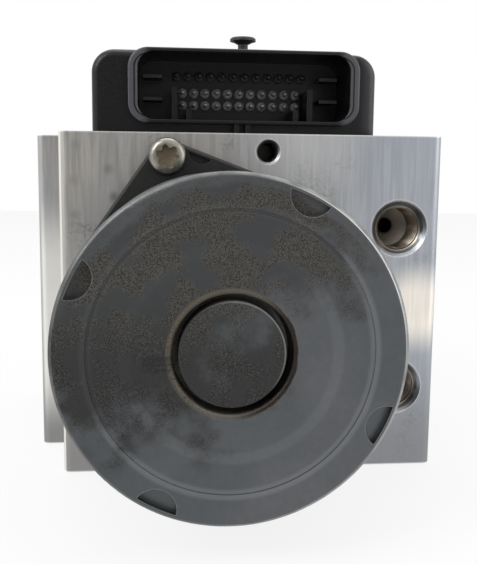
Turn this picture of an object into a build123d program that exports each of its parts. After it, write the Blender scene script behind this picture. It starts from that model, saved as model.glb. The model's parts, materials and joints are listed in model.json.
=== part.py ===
"""Anti-lock brake module: valve block, pump motor, pump, valves and control unit.

Millimetres. +Z is up, the motor points along -Y and +X is to the right of someone
facing the motor. The origin is the centre of the valve block's bottom face.
"""

import os
from math import cos, radians, sin, tan

from build123d import *

os.makedirs("parts", exist_ok=True)

# ---------------------------------------------------------------- driving sizes

# Valve block, cut from an extruded bar whose length runs along Z
block_width = 94.0
block_depth = 46.0
block_height = 84.0
block_edge_radius = 2.0
step_width = 8.2
step_setback = 22.3

# Pump motor
motor_inset = 37.4
motor_height = 41.0
can_radius = 33.6
can_reach = 50.9
can_wall = 2.2
can_edge_radius = 1.2
boss_radius = 10.0
boss_groove_width = 1.2
boss_groove_depth = 5.0
boss_lip_radius = 1.0
face_ring_radii = (19.9, 27.0)
face_ring_width = 0.6
face_ring_depth = 0.2
pocket_count = 4
pocket_angle = 64.0
pocket_radius = 4.1
pocket_centre_radius = 32.8
pocket_rim = 1.2
pocket_depth = 1.5

# Motor flange and its screws
flange_thickness = 4.0
flange_radius = 34.8
flange_chamfer = 0.6
flange_spigot_height = 2.5
lug_radius = 4.0
lug_circle_radius = 38.9
lug_angle = 107.2
lug_count = 3
flange_screw_radius = 2.5
flange_screw_length = 8.0
flange_head_radius = 4.4
flange_head_height = 2.8
flange_head_fillet = 0.9
flange_recess_radius = 2.2
flange_recess_depth = 1.6
flange_pocket_circle_radius = 38.6
flange_pocket_turn = 12.0
flange_pocket_radius = 3.0
flange_pocket_rim = 0.4
flange_pocket_depth = 1.4

# Motor inside
shaft_radius = 4.0
journal_radius = 5.0
eccentric_radius = 4.0
eccentric_offset = 1.0
eccentric_length = 14.0
end_bearing_radius = 8.0
end_bearing_width = 5.0
flange_bearing_radius = 13.0
flange_bearing_width = 8.0
bearing_ball_count = 7
needle_radius = 1.2
needle_count = 10
needle_length = 9.0
ring_wall = 1.1
ring_length = 10.0
core_end_gap = 0.9
riser_gap = 1.5
bearing_land_share = 0.25
bearing_ball_share = 0.28
slot_count = 12
slot_width = 4.4
slot_mouth = 1.6
slot_bottom_radius = 14.0
slot_top_radius = 24.5
magnet_thickness = 3.8
magnet_angle = 140.0
magnet_overlap = 2.0
air_gap = 0.7
winding_overhang = 3.4
winding_end_chamfer = 1.1
commutator_radius = 9.0
commutator_length = 11.0
commutator_start = 6.5
commutator_bars = 12
commutator_gap = 0.5
commutator_gap_depth = 1.5
riser_height = 1.5
brush_width = 6.0
brush_height = 5.0
brush_length = 9.0
brush_travel = 2.0
brush_spring_length = 4.6
brush_spring_wire = 0.4
brush_spring_turns = 4
brush_guide_wall = 1.0
brush_guide_start = 10.6
brush_plate_thickness = 2.0
brush_plate_bore = 11.5
terminal_width = 5.0
terminal_thickness = 0.8
terminal_spacing = 3.4
terminal_distance = 22.6
terminal_passage_radius = 4.2
terminal_boss_height = 2.0
terminal_seal_length = 6.0

# Pump
pump_setback = 17.0
chamber_radius = 12.0
chamber_depth = 26.0
piston_radius = 3.25
piston_chamfer = 0.4
sleeve_radius = 6.0
sleeve_length = 9.0
sleeve_distance = 13.5
plug_radius = 7.0
plug_depth = 6.0
plug_stem_radius = 5.0
plug_stem_least = 4.0
plug_dish_radius = 3.5
plug_dish_depth = 2.0
pump_seal_width = 1.5
pump_spring_radius = 2.4
pump_spring_wire = 0.6
pump_spring_turns = 4
pump_spring_length = 6.1

# Accumulators
accumulator_height_step = 20.0
accumulator_setback = 34.2
accumulator_radius = 8.0
accumulator_depth = 26.0
accumulator_cap_radius = 9.0
accumulator_cap_depth = 3.0
accumulator_cap_lip = 1.6
accumulator_cap_dish_radius = 4.0
accumulator_cap_dish_depth = 1.5
accumulator_piston_length = 7.0
accumulator_piston_wall = 1.6
accumulator_seal_height = 0.8
accumulator_spring_radius = 5.2
accumulator_spring_wire = 0.9
accumulator_spring_turns = 5

# Brake line ports
master_port_inset = 10.4
master_port_spacing = 40.4
master_port_radius = 5.46
master_port_mouth = 7.1
master_port_depth = 11.4
wheel_port_count = 4
wheel_port_setback = 32.0
wheel_port_pitch = 20.0
wheel_port_radius = 4.46
wheel_port_mouth = 5.9
wheel_port_depth = 10.0
drill_point_angle = 118.0
drilling_radius = 1.95
drilling_length = 3.5

# Other block holes
bracket_hole_inset = 50.3
bracket_hole_drop = 4.35
bracket_hole_radius = 2.5
bracket_hole_mouth = 3.05
bracket_hole_depth = 10.0
foot_hole_spacing = 64.0
foot_hole_setback = 12.0
foot_hole_depth = 10.0
ball_radius = 2.5
ball_hole_depth = 6.0

# Solenoid valves and their coils
valve_rows = 4
valve_column_pitch = 40.0
valve_column_centre = 5.0
valve_end_gap = 0.8
valve_radius = 5.5
valve_depth = 16.0
valve_foot_radius = 3.4
valve_foot_length = 6.4
valve_dome_radius = 3.0
valve_dome_length = 15.5
coil_radius = 7.2
coil_length = 12.0
coil_start = 2.5
yoke_wall = 1.0

# Control unit
unit_inset = 2.0
unit_bottom = 2.0
unit_depth = 26.0
unit_wall = 2.2
unit_corner_radius = 5.0
unit_cover_thickness = 3.0
unit_floor_thickness = 2.0
unit_floor_setback = 18.0
gasket_thickness = 0.8
gasket_width = 1.4
tower_inset = 6.9
tower_gap = 0.6
tower_height = 20.8
tower_front = 14.0
tower_corner_radius = 5.8
tower_edge_radius = 2.0
post_radius = 4.2
post_inset = 6.2
unit_screw_radius = 2.0
unit_screw_bite = 8.0
unit_screw_head_radius = 3.6
unit_screw_head_height = 2.2

# Connector
collar_left_margin = 9.3
collar_right_margin = 5.3
collar_width = 58.9
collar_reach = 4.0
collar_side_wall = 2.4
collar_rim_wall = 1.0
collar_drop = 2.2
collar_corner_radius = 5.0
collar_edge_radius = 0.6
collar_lip_radius = 0.3
socket_depth = 18.0
socket_floor_thickness = 3.0
pin_row_heights = (8.1, 11.4, 15.8)
pin_row_counts = (11, 11, 12)
pin_size = 1.3
pin_reach = 4.0
pin_tip_chamfer = 0.3
blade_side_gap = 1.2
blade_width = 4.9
blade_thickness = 0.8
blade_reach = 7.0
blade_heights = (9.2, 15.0)
key_wall_thickness = 1.4
key_wall_height = 8.6
key_rib_height = 3.2
key_wall_reach = 11.0
key_rib_inset = 3.7
latch_width = 1.2
latch_spacing = 2.9
latch_shift = -0.7
latch_setback = 0.8

# Circuit board and top stud
board_thickness = 1.6
stud_height = 9.4
stud_radius = 1.5
stud_head_radius = 3.85
stud_head_height = 2.0
stud_head_rim = 0.4
stud_setback = 50.0
stud_inset = 48.9

# Parts on the board, as places (x, z) on its rear face
chip_thickness = 1.8
chips = ((-22.0, 52.0, 14.0), (-22.0, 26.0, 10.0), (30.0, 62.0, 8.0))
capacitor_spots = ((30.0, 24.0), (30.0, 36.0))
capacitor_radius = 3.2
capacitor_height = 3.2

# Cover
panel_inset = 12.4
panel_depth = 1.0
panel_count = 7
panel_gap = 2.2
cover_edge_radius = 0.8
vent_radius = 3.4
vent_height = 1.2
vent_chamfer = 0.4

# Clearances
seat_gap = 0.05
running_gap = 0.03
open_gap = 0.3

# ---------------------------------------------------------------- derived places

left_x = -block_width / 2
right_x = block_width / 2
step_x = left_x - step_width
face_y = -block_depth / 2
rear_y = block_depth / 2
step_y = face_y + step_setback
motor_x = left_x + motor_inset
pump_y = face_y + pump_setback

# Local z of each face plane points out of the block, and local y points up
front_face = Plane(origin=(0, face_y, 0), x_dir=(1, 0, 0), z_dir=(0, -1, 0))
rear_face = Plane(origin=(0, rear_y, 0), x_dir=(-1, 0, 0), z_dir=(0, 1, 0))
right_face = Plane(origin=(right_x, 0, 0), x_dir=(0, 1, 0), z_dir=(1, 0, 0))
left_face = Plane(origin=(step_x, 0, 0), x_dir=(0, -1, 0), z_dir=(-1, 0, 0))
top_face = Plane.XY.offset(block_height)
bottom_face = Plane(origin=(0, 0, 0), x_dir=(1, 0, 0), z_dir=(0, 0, -1))

# Motor planes: motor_face looks along the axis, motor_section is a half section
# with its x along the radius and its y along the reach in front of the block
motor_face = Plane(origin=(motor_x, face_y, motor_height), x_dir=(1, 0, 0), z_dir=(0, -1, 0))
motor_section = Plane(origin=(motor_x, face_y, motor_height), x_dir=(1, 0, 0), z_dir=(0, 0, -1))
motor_axis = Axis((motor_x, face_y, motor_height), (0, -1, 0))
eccentric_face = Plane(
    origin=(motor_x + eccentric_offset, face_y, motor_height), x_dir=(1, 0, 0), z_dir=(0, -1, 0)
)


def export(piece, name):
    """Label a finished piece and write its file."""
    piece.part.label = name
    export_step(piece.part, f"parts/{name}.step")


def drill(face, spots, radius, depth):
    """Flat-bottomed holes at spots of a face."""
    with Locations(face):
        with Locations(*spots):
            Hole(radius, depth)


def drill_with_mouth(face, spots, radius, mouth_radius, depth):
    """Holes with a 90 degree chamfer at the mouth."""
    with Locations(face):
        with Locations(*spots):
            CounterSinkHole(radius, mouth_radius, depth, 90)


def cone_depth(radius):
    """Length of the cone between a port of this radius and its drilling."""
    return (radius - drilling_radius) / tan(radians(drill_point_angle / 2))


def drill_port(face, spots, radius, mouth_radius, depth):
    """Tube nut ports: chamfer, thread bore, cone for the flare and a drilling."""
    drill_with_mouth(face, spots, radius, mouth_radius, depth)
    cone = cone_depth(radius)
    with Locations(face.offset(-depth)):
        with Locations(*[(x, y, -cone / 2) for x, y in spots]):
            Cone(drilling_radius, radius, cone, mode=Mode.SUBTRACT)
    drill(face, spots, drilling_radius, depth + cone + drilling_length)


def ring_points(inner, outer, low, high):
    """Corners of a ring's half section."""
    return ((inner, low), (outer, low), (outer, high), (inner, high))


def polar_spots(radius, count, start_angle):
    """Places on a circle, anticlockwise from a start angle."""
    angles = [radians(start_angle + index * 360 / count) for index in range(count)]
    return [(radius * cos(angle), radius * sin(angle)) for angle in angles]


def front_plane(y):
    """A plane facing the motor side at a place along Y."""
    return Plane(origin=(0, y, 0), x_dir=(1, 0, 0), z_dir=(0, -1, 0))


def draw_terminals(mode=Mode.ADD):
    """The two motor terminals' flat sections."""
    with Locations((terminal_x, motor_height)):
        with GridLocations(0, terminal_spacing, 1, 2):
            Rectangle(terminal_width, terminal_thickness, mode=mode)


def coil_spring(seat, length, radius, wire, turns):
    """Square wire wound along the local z of its seat plane."""
    with BuildPart() as spring:
        with BuildLine() as wind:
            Helix(
                pitch=(length - 2 * wire) / turns,
                height=length - 2 * wire,
                radius=radius,
                center=seat.origin + seat.z_dir * wire,
                direction=seat.z_dir,
            )
        with BuildSketch(wind.line ^ 0):
            Rectangle(2 * wire, 2 * wire)
        sweep(path=wind.line, is_frenet=True)
    return spring


# ---------------------------------------------------------------- valve block

lug_spots = polar_spots(lug_circle_radius, lug_count, lug_angle)
flange_pocket_spots = polar_spots(
    flange_pocket_circle_radius, lug_count, lug_angle - flange_pocket_turn
)
master_x = right_x - master_port_inset
master_spots = [
    (master_x, motor_height + side * master_port_spacing / 2) for side in (-1, 1)
]
wheel_y = face_y + wheel_port_setback
wheel_spots = [
    (wheel_y, block_height / 2 + (index - (wheel_port_count - 1) / 2) * wheel_port_pitch)
    for index in range(wheel_port_count)
]
bracket_spot = (left_x + bracket_hole_inset, block_height - bracket_hole_drop)
foot_spots = [
    (side * foot_hole_spacing / 2, -(face_y + foot_hole_setback)) for side in (-1, 1)
]
accumulator_y = face_y + accumulator_setback
accumulator_heights = (
    motor_height - accumulator_height_step,
    motor_height + accumulator_height_step,
)
valve_columns = (
    valve_column_centre - valve_column_pitch / 2,
    valve_column_centre + valve_column_pitch / 2,
)
terminal_x = motor_x + terminal_distance
unit_left = step_x + unit_inset
unit_right = right_x - unit_inset
unit_top = block_height
valve_row_pitch = (unit_top - unit_bottom - 2 * (unit_wall + valve_end_gap)) / valve_rows
valve_heights = [
    (unit_top + unit_bottom) / 2 + (index - (valve_rows - 1) / 2) * valve_row_pitch
    for index in range(valve_rows)
]
screw_spots = [
    (x, z)
    for x in (unit_left + post_inset, unit_right - post_inset)
    for z in (unit_bottom + post_inset, unit_top - post_inset)
]
# Cross drillings closed by pressed balls: two in the top, two in the right side
top_ball_spots = [(master_x, wheel_y), (step_x + accumulator_depth / 2, wheel_y)]
master_cone_depth = cone_depth(master_port_radius)
wheel_cone_depth = cone_depth(wheel_port_radius)
master_drilling_depth = master_port_depth + master_cone_depth + drilling_length
side_ball_spots = [
    (face_y + master_drilling_depth, motor_height + side * master_port_spacing / 2)
    for side in (-1, 1)
]
pump_faces = {
    "upper": Plane(origin=(motor_x, pump_y, block_height), x_dir=(1, 0, 0), z_dir=(0, 0, 1)),
    "lower": Plane(origin=(motor_x, pump_y, 0), x_dir=(1, 0, 0), z_dir=(0, 0, -1)),
}
pump_distances = {"upper": block_height - motor_height, "lower": motor_height}

with BuildPart() as valve_block:
    with BuildSketch():
        with BuildLine():
            Polyline(
                (left_x, face_y),
                (right_x, face_y),
                (right_x, rear_y),
                (step_x, rear_y),
                (step_x, step_y),
                (left_x, step_y),
                close=True,
            )
        make_face()
    extrude(amount=block_height)
    outer_edges = valve_block.edges().filter_by(Axis.Z).filter_by(
        lambda edge: abs(edge.center().Y - step_y) > open_gap or edge.center().X < left_x - open_gap
    )
    fillet(outer_edges, block_edge_radius)

    # Bearing seat and eccentric chamber on the motor axis
    drill(motor_face, [(0, 0)], flange_bearing_radius, flange_bearing_width)
    drill(motor_face, [(0, 0)], chamber_radius, chamber_depth)
    drill(motor_face, [(terminal_distance, 0)], terminal_passage_radius, block_depth)
    drill(motor_face, lug_spots, flange_screw_radius, flange_screw_length + seat_gap)

    # Pump bores step down towards the chamber from the top and the bottom
    for side, pump_face in pump_faces.items():
        distance = pump_distances[side]
        drill(pump_face, [(0, 0)], plug_radius, plug_depth)
        drill(pump_face, [(0, 0)], sleeve_radius, distance - sleeve_distance)
        drill(pump_face, [(0, 0)], piston_radius + open_gap, distance)

    # Brake line ports
    drill_port(front_face, master_spots, master_port_radius, master_port_mouth, master_port_depth)
    drill_port(right_face, wheel_spots, wheel_port_radius, wheel_port_mouth, wheel_port_depth)

    # Fixing holes
    drill_with_mouth(
        front_face, [bracket_spot], bracket_hole_radius, bracket_hole_mouth, bracket_hole_depth
    )
    drill(bottom_face, foot_spots, bracket_hole_radius, foot_hole_depth)

    # Accumulator bores and valve bores
    accumulator_spots = [(-accumulator_y, height) for height in accumulator_heights]
    drill(left_face, accumulator_spots, accumulator_cap_radius, accumulator_cap_depth)
    drill(left_face, accumulator_spots, accumulator_radius, accumulator_depth)
    valve_spots = [(-x, z) for x in valve_columns for z in valve_heights]
    drill(rear_face, valve_spots, valve_radius, valve_depth)
    drill(rear_face, [(-x, z) for x, z in screw_spots], unit_screw_radius, unit_screw_bite)

    # Ball seats, with the cross drillings that two of them close
    drill(top_face, top_ball_spots, ball_radius, ball_hole_depth)
    drill(right_face, side_ball_spots, ball_radius, ball_hole_depth)
    drill(right_face, side_ball_spots, drilling_radius, master_port_inset)
export(valve_block, "valve_block")

with BuildPart() as passage_balls:
    with Locations(top_face):
        with Locations(*[(x, y, -ball_radius) for x, y in top_ball_spots]):
            Sphere(ball_radius)
    with Locations(right_face):
        with Locations(*[(x, y, -ball_radius) for x, y in side_ball_spots]):
            Sphere(ball_radius)
export(passage_balls, "passage_balls")

# ---------------------------------------------------------------- motor can

can_bore = can_radius - can_wall
can_face = can_reach - can_wall
pot_bottom = can_reach - boss_groove_depth - can_wall
groove_radius = boss_radius + boss_groove_width
pot_radius = groove_radius + can_wall
can_profile = (
    (can_bore, flange_thickness),
    (can_radius, flange_thickness),
    (can_radius, can_reach),
    (groove_radius, can_reach),
    (groove_radius, can_reach - boss_groove_depth),
    (boss_radius, can_reach - boss_groove_depth),
    (boss_radius, can_reach),
    (0, can_reach),
    (0, can_face),
    (end_bearing_radius, can_face),
    (end_bearing_radius, pot_bottom),
    (pot_radius, pot_bottom),
    (pot_radius, can_face),
    (can_bore, can_face),
)

with BuildPart() as motor_can:
    with BuildSketch(motor_section):
        with BuildLine():
            Polyline(*can_profile, close=True)
        make_face()
    revolve(axis=motor_axis)
    front_rims = motor_can.edges().filter_by(GeomType.CIRCLE).filter_by(
        lambda edge: abs(edge.center().Y - (face_y - can_reach)) < open_gap
    )
    fillet(front_rims.sort_by(SortBy.RADIUS)[-1], can_edge_radius)
    fillet(front_rims.sort_by(SortBy.RADIUS)[1], boss_lip_radius)
    # Shallow stamped rings round the boss
    with BuildSketch(motor_face.offset(can_reach)):
        for radius in face_ring_radii:
            Circle(radius)
            Circle(radius - face_ring_width, mode=Mode.SUBTRACT)
    extrude(amount=-face_ring_depth, mode=Mode.SUBTRACT)
    # Half-moon pockets that stop short of the rim
    with BuildSketch(motor_face.offset(can_reach)):
        with PolarLocations(pocket_centre_radius, pocket_count, start_angle=pocket_angle):
            Circle(pocket_radius)
        Circle(can_radius - pocket_rim, mode=Mode.INTERSECT)
    extrude(amount=-pocket_depth, mode=Mode.SUBTRACT)
export(motor_can, "motor_can")

# ---------------------------------------------------------------- motor flange


def draw_flange_outline(inset):
    """Hull round the motor seat and the lugs, shrunk by an inset."""
    with BuildLine() as rings:
        CenterArc((0, 0), flange_radius - inset, 0, 360)
        for spot in lug_spots:
            CenterArc(spot, lug_radius - inset, 0, 360)
    make_hull(rings.edges())


with BuildPart() as motor_flange:
    with BuildSketch(motor_face):
        draw_flange_outline(0)
    extrude(amount=flange_thickness)
    top_edges = motor_flange.faces().sort_by(motor_axis)[-1].edges()
    chamfer(top_edges, flange_chamfer)
    # Spigot that centres the can
    with BuildSketch(motor_face.offset(flange_thickness)):
        Circle(can_bore - seat_gap)
        Circle(can_bore - flange_thickness, mode=Mode.SUBTRACT)
    extrude(amount=flange_spigot_height)
    drill(motor_face.offset(flange_thickness), [(0, 0)], chamber_radius, flange_thickness)
    drill(
        motor_face.offset(flange_thickness),
        [(terminal_distance, 0)],
        terminal_passage_radius,
        flange_thickness,
    )
    drill(
        motor_face.offset(flange_thickness), lug_spots, flange_screw_radius, flange_thickness
    )
    # Sunk pocket beside each screw, with a rim left along the edge and round the head
    for lug_spot, pocket_spot in zip(lug_spots, flange_pocket_spots):
        with BuildSketch(motor_face.offset(flange_thickness)):
            draw_flange_outline(flange_chamfer + flange_pocket_rim)
            with Locations(pocket_spot):
                Circle(flange_pocket_radius, mode=Mode.INTERSECT)
            with Locations(lug_spot):
                Circle(flange_head_radius + flange_pocket_rim, mode=Mode.SUBTRACT)
        extrude(amount=-flange_pocket_depth, mode=Mode.SUBTRACT)
export(motor_flange, "motor_flange")

with BuildPart() as motor_flange_screws:
    with BuildSketch(motor_face.offset(-flange_screw_length)):
        with Locations(*lug_spots):
            Circle(flange_screw_radius)
    extrude(amount=flange_screw_length + flange_thickness)
    with BuildSketch(motor_face.offset(flange_thickness)):
        with Locations(*lug_spots):
            Circle(flange_head_radius)
    extrude(amount=flange_head_height)
    head_tops = motor_flange_screws.faces().filter_by(Axis.Y).group_by(Axis.Y)[0]
    fillet(head_tops.edges(), flange_head_fillet)
    with BuildSketch(motor_face.offset(flange_thickness + flange_head_height)):
        with Locations(*lug_spots):
            RegularPolygon(flange_recess_radius, 6)
            RegularPolygon(flange_recess_radius, 6, rotation=30)
    extrude(amount=-flange_recess_depth, mode=Mode.SUBTRACT)
export(motor_flange_screws, "motor_flange_screws")

# ---------------------------------------------------------------- magnets

core_high = pot_bottom - core_end_gap - winding_overhang
core_low = commutator_start + commutator_length + riser_gap + winding_overhang
core_length = core_high - core_low
core_middle = (core_high + core_low) / 2
magnet_length = core_length + 2 * magnet_overlap
magnet_bore = can_bore - magnet_thickness
core_radius = magnet_bore - air_gap

for side, centre_angle in (("left", 180.0), ("right", 0.0)):
    first_angle = centre_angle - magnet_angle / 2
    with BuildPart() as magnet:
        with BuildSketch(motor_face.offset(core_middle - magnet_length / 2)):
            with BuildLine():
                outer_arc = CenterArc((0, 0), can_bore - seat_gap, first_angle, magnet_angle)
                inner_arc = CenterArc((0, 0), magnet_bore, first_angle, magnet_angle)
                Line(outer_arc @ 0, inner_arc @ 0)
                Line(outer_arc @ 1, inner_arc @ 1)
            make_face()
        extrude(amount=magnet_length)
    export(magnet, f"motor_magnet_{side}")

# ---------------------------------------------------------------- rotor

shaft_end = can_face - open_gap
eccentric_start = -flange_bearing_width - open_gap
rotor_shaft_points = (
    (0, eccentric_start),
    (journal_radius, eccentric_start),
    (journal_radius, pot_bottom - open_gap),
    (shaft_radius, pot_bottom - open_gap),
    (shaft_radius, shaft_end),
    (0, shaft_end),
)
with BuildPart() as rotor_shaft:
    with BuildSketch(motor_section):
        with BuildLine():
            Polyline(*rotor_shaft_points, close=True)
        make_face()
    revolve(axis=motor_axis)
    with BuildSketch(eccentric_face.offset(eccentric_start)):
        Circle(eccentric_radius)
    extrude(amount=-eccentric_length)
export(rotor_shaft, "rotor_shaft")

with BuildPart() as armature_core:
    with BuildSketch(motor_face.offset(core_low)):
        Circle(core_radius)
        Circle(journal_radius, mode=Mode.SUBTRACT)
        slot_middle = (slot_bottom_radius + slot_top_radius) / 2
        with PolarLocations(slot_middle, slot_count):
            Rectangle(slot_top_radius - slot_bottom_radius, slot_width, mode=Mode.SUBTRACT)
        with PolarLocations(core_radius, slot_count):
            Rectangle(2 * (core_radius - slot_top_radius), slot_mouth, mode=Mode.SUBTRACT)
    extrude(amount=core_length)
export(armature_core, "armature_core")

with BuildPart() as armature_winding:
    with BuildSketch(motor_face.offset(core_low)):
        with PolarLocations(slot_middle, slot_count):
            Rectangle(
                slot_top_radius - slot_bottom_radius - 2 * seat_gap, slot_width - 2 * seat_gap
            )
    extrude(amount=core_length)
    for level in (core_low - winding_overhang, core_high):
        with BuildSketch(motor_face.offset(level)):
            Circle(slot_top_radius - seat_gap)
            Circle(slot_bottom_radius - slot_mouth, mode=Mode.SUBTRACT)
        extrude(amount=winding_overhang)
    end_rims = armature_winding.edges().filter_by(GeomType.CIRCLE).group_by(Axis.Y)
    chamfer(end_rims[0] + end_rims[-1], winding_end_chamfer)
export(armature_winding, "armature_winding")

commutator_end = commutator_start + commutator_length
with BuildPart() as commutator:
    with BuildSketch(motor_section):
        with BuildLine():
            Polyline(
                (journal_radius, commutator_start),
                (commutator_radius, commutator_start),
                (commutator_radius, commutator_end - riser_height),
                (commutator_radius + riser_height, commutator_end - riser_height),
                (commutator_radius + riser_height, commutator_end),
                (journal_radius, commutator_end),
                close=True,
            )
        make_face()
    revolve(axis=motor_axis)
    with BuildSketch(motor_face.offset(commutator_start)):
        with PolarLocations(commutator_radius + riser_height / 2, commutator_bars):
            Rectangle(riser_height + 2 * commutator_gap_depth, commutator_gap)
    extrude(amount=commutator_length, mode=Mode.SUBTRACT)
export(commutator, "commutator")

# ---------------------------------------------------------------- bearings


def ball_bearing(name, inner_radius, outer_radius, low, width):
    """Outer ring, inner ring and balls of a bearing on the motor axis."""
    span = outer_radius - inner_radius
    ring_land = span * bearing_land_share
    pitch_radius = (inner_radius + outer_radius) / 2
    ball = span * bearing_ball_share
    middle = low + width / 2
    lands = {
        "outer": (outer_radius - ring_land, outer_radius),
        "inner": (inner_radius, inner_radius + ring_land),
    }
    for ring_name, (bore, rim) in lands.items():
        with BuildPart() as ring:
            with BuildSketch(motor_section):
                with Locations(((bore + rim) / 2, middle)):
                    Rectangle(rim - bore, width)
                with Locations((pitch_radius, middle)):
                    Circle(ball + running_gap, mode=Mode.SUBTRACT)
            revolve(axis=motor_axis)
        export(ring, f"{name}_{ring_name}_ring")
    with BuildPart() as balls:
        with Locations(motor_face.offset(middle)):
            with PolarLocations(pitch_radius, bearing_ball_count):
                Sphere(ball)
    export(balls, f"{name}_balls")


ball_bearing("end_bearing", shaft_radius, end_bearing_radius, pot_bottom, end_bearing_width)
ball_bearing(
    "flange_bearing",
    journal_radius,
    flange_bearing_radius,
    -flange_bearing_width,
    flange_bearing_width,
)

# Needle bearing on the eccentric: the pump pistons ride on its outer ring
needle_orbit = eccentric_radius + running_gap + needle_radius
ring_bore = needle_orbit + needle_radius + running_gap
ring_radius = ring_bore + ring_wall
with BuildPart() as eccentric_needles:
    with BuildSketch(eccentric_face.offset(-pump_setback - needle_length / 2)):
        with PolarLocations(needle_orbit, needle_count):
            Circle(needle_radius)
    extrude(amount=needle_length)
export(eccentric_needles, "eccentric_needles")

with BuildPart() as eccentric_ring:
    with BuildSketch(eccentric_face.offset(-pump_setback - ring_length / 2)):
        Circle(ring_radius)
        Circle(ring_bore, mode=Mode.SUBTRACT)
    extrude(amount=ring_length)
export(eccentric_ring, "eccentric_ring")

# ---------------------------------------------------------------- brush gear

brush_middle = commutator_start + (commutator_length - riser_height) / 2
brush_start = commutator_radius + open_gap
brush_end = brush_start + brush_length
guide_end = brush_end + brush_spring_length
plate_radius = can_bore - flange_thickness - open_gap
plate_top = flange_thickness + brush_plate_thickness
guide_width = brush_width + 2 * (running_gap + brush_guide_wall)
guide_top = brush_middle + brush_height / 2 + running_gap + brush_guide_wall

with BuildPart() as brush_holder:
    with BuildSketch(motor_face.offset(flange_thickness)):
        Circle(plate_radius)
        Circle(brush_plate_bore, mode=Mode.SUBTRACT)
    extrude(amount=brush_plate_thickness)
    with BuildSketch(motor_face.offset(flange_thickness)):
        with PolarLocations((brush_guide_start + guide_end + brush_guide_wall) / 2, 2, start_angle=90):
            Rectangle(guide_end + brush_guide_wall - brush_guide_start, guide_width)
    extrude(amount=guide_top - flange_thickness)
    with BuildSketch(motor_face.offset(brush_middle - brush_height / 2 - running_gap)):
        with PolarLocations(guide_end / 2, 2, start_angle=90):
            Rectangle(guide_end, brush_width + 2 * running_gap)
    extrude(amount=brush_height + 2 * running_gap, mode=Mode.SUBTRACT)
    # Boss round the two terminals
    with BuildSketch(motor_face.offset(plate_top)):
        with Locations((terminal_distance, 0)):
            Circle(terminal_passage_radius)
    extrude(amount=terminal_boss_height)
    with BuildSketch(front_plane(face_y - flange_thickness)):
        draw_terminals()
    extrude(amount=brush_plate_thickness + terminal_boss_height, mode=Mode.SUBTRACT)
export(brush_holder, "brush_holder")

for side, direction in (("upper", 1), ("lower", -1)):
    with BuildPart() as brush:
        with BuildSketch(motor_face.offset(brush_middle - brush_height / 2)):
            with Locations((0, direction * (brush_start + brush_end) / 2)):
                Rectangle(brush_width, brush_length)
        extrude(amount=brush_height)
    export(brush, f"brush_{side}")
    spring_seat = Plane(
        origin=(motor_x, face_y - brush_middle, motor_height + direction * brush_end),
        x_dir=(1, 0, 0),
        z_dir=(0, 0, direction),
    )
    brush_spring = coil_spring(
        spring_seat,
        brush_spring_length,
        brush_height / 2 - 2 * brush_spring_wire,
        brush_spring_wire,
        brush_spring_turns,
    )
    export(brush_spring, f"brush_spring_{side}")

# ---------------------------------------------------------------- control unit places

unit_front = rear_y + gasket_thickness
unit_rear = unit_front + unit_depth
unit_width = unit_right - unit_left
unit_height = unit_top - unit_bottom
unit_middle = ((unit_left + unit_right) / 2, (unit_bottom + unit_top) / 2)
unit_floor_front = unit_front + unit_floor_setback
unit_floor_rear = unit_floor_front + unit_floor_thickness
tower_bottom = block_height + tower_gap
tower_top = tower_bottom + tower_height
tower_width = collar_left_margin + collar_width + collar_right_margin
tower_x = left_x + tower_inset + tower_width / 2
tower_y = face_y + tower_front
board_front = unit_floor_rear + open_gap
board_rear = board_front + board_thickness

with BuildPart() as motor_terminals:
    with BuildSketch(front_plane(board_rear)):
        draw_terminals()
    extrude(amount=board_rear - face_y + plate_top + terminal_boss_height)
export(motor_terminals, "motor_terminals")

with BuildPart() as terminal_seal:
    with BuildSketch(front_plane(face_y + terminal_seal_length)):
        with Locations((terminal_x, motor_height)):
            Circle(terminal_passage_radius)
        draw_terminals(Mode.SUBTRACT)
    extrude(amount=terminal_seal_length)
export(terminal_seal, "terminal_seal")

# ---------------------------------------------------------------- pump elements

piston_tip = ring_radius + eccentric_offset + open_gap
piston_end = min(pump_distances.values()) - plug_depth - plug_stem_least - pump_spring_length
piston_length = piston_end - piston_tip
sleeve_end = sleeve_distance + sleeve_length

for side, pump_face in pump_faces.items():
    distance = pump_distances[side]
    plug_stem_length = distance - plug_depth - pump_spring_length - piston_end
    axle = pump_face.offset(-distance)
    with BuildPart() as pump_sleeve:
        with BuildSketch(axle.offset(sleeve_distance)):
            Circle(sleeve_radius)
            Circle(piston_radius + running_gap, mode=Mode.SUBTRACT)
        extrude(amount=sleeve_length)
    export(pump_sleeve, f"pump_sleeve_{side}")

    with BuildPart() as pump_piston:
        with BuildSketch(axle.offset(piston_tip)):
            Circle(piston_radius)
        extrude(amount=piston_length)
        chamfer(pump_piston.edges().filter_by(GeomType.CIRCLE), piston_chamfer)
    export(pump_piston, f"pump_piston_{side}")

    with BuildPart() as pump_plug:
        with BuildSketch(axle.offset(distance - plug_depth)):
            Circle(plug_radius)
        extrude(amount=plug_depth - open_gap)
        with BuildSketch(axle.offset(distance - plug_depth)):
            Circle(plug_stem_radius)
        extrude(amount=-plug_stem_length)
        # Staking dish in the outer face
        with BuildSketch(axle.offset(distance - open_gap)):
            Circle(plug_dish_radius)
        extrude(amount=-plug_dish_depth, mode=Mode.SUBTRACT)
    export(pump_plug, f"pump_plug_{side}")

    pump_spring = coil_spring(
        axle.offset(piston_end),
        pump_spring_length,
        pump_spring_radius,
        pump_spring_wire,
        pump_spring_turns,
    )
    export(pump_spring, f"pump_spring_{side}")

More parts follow.
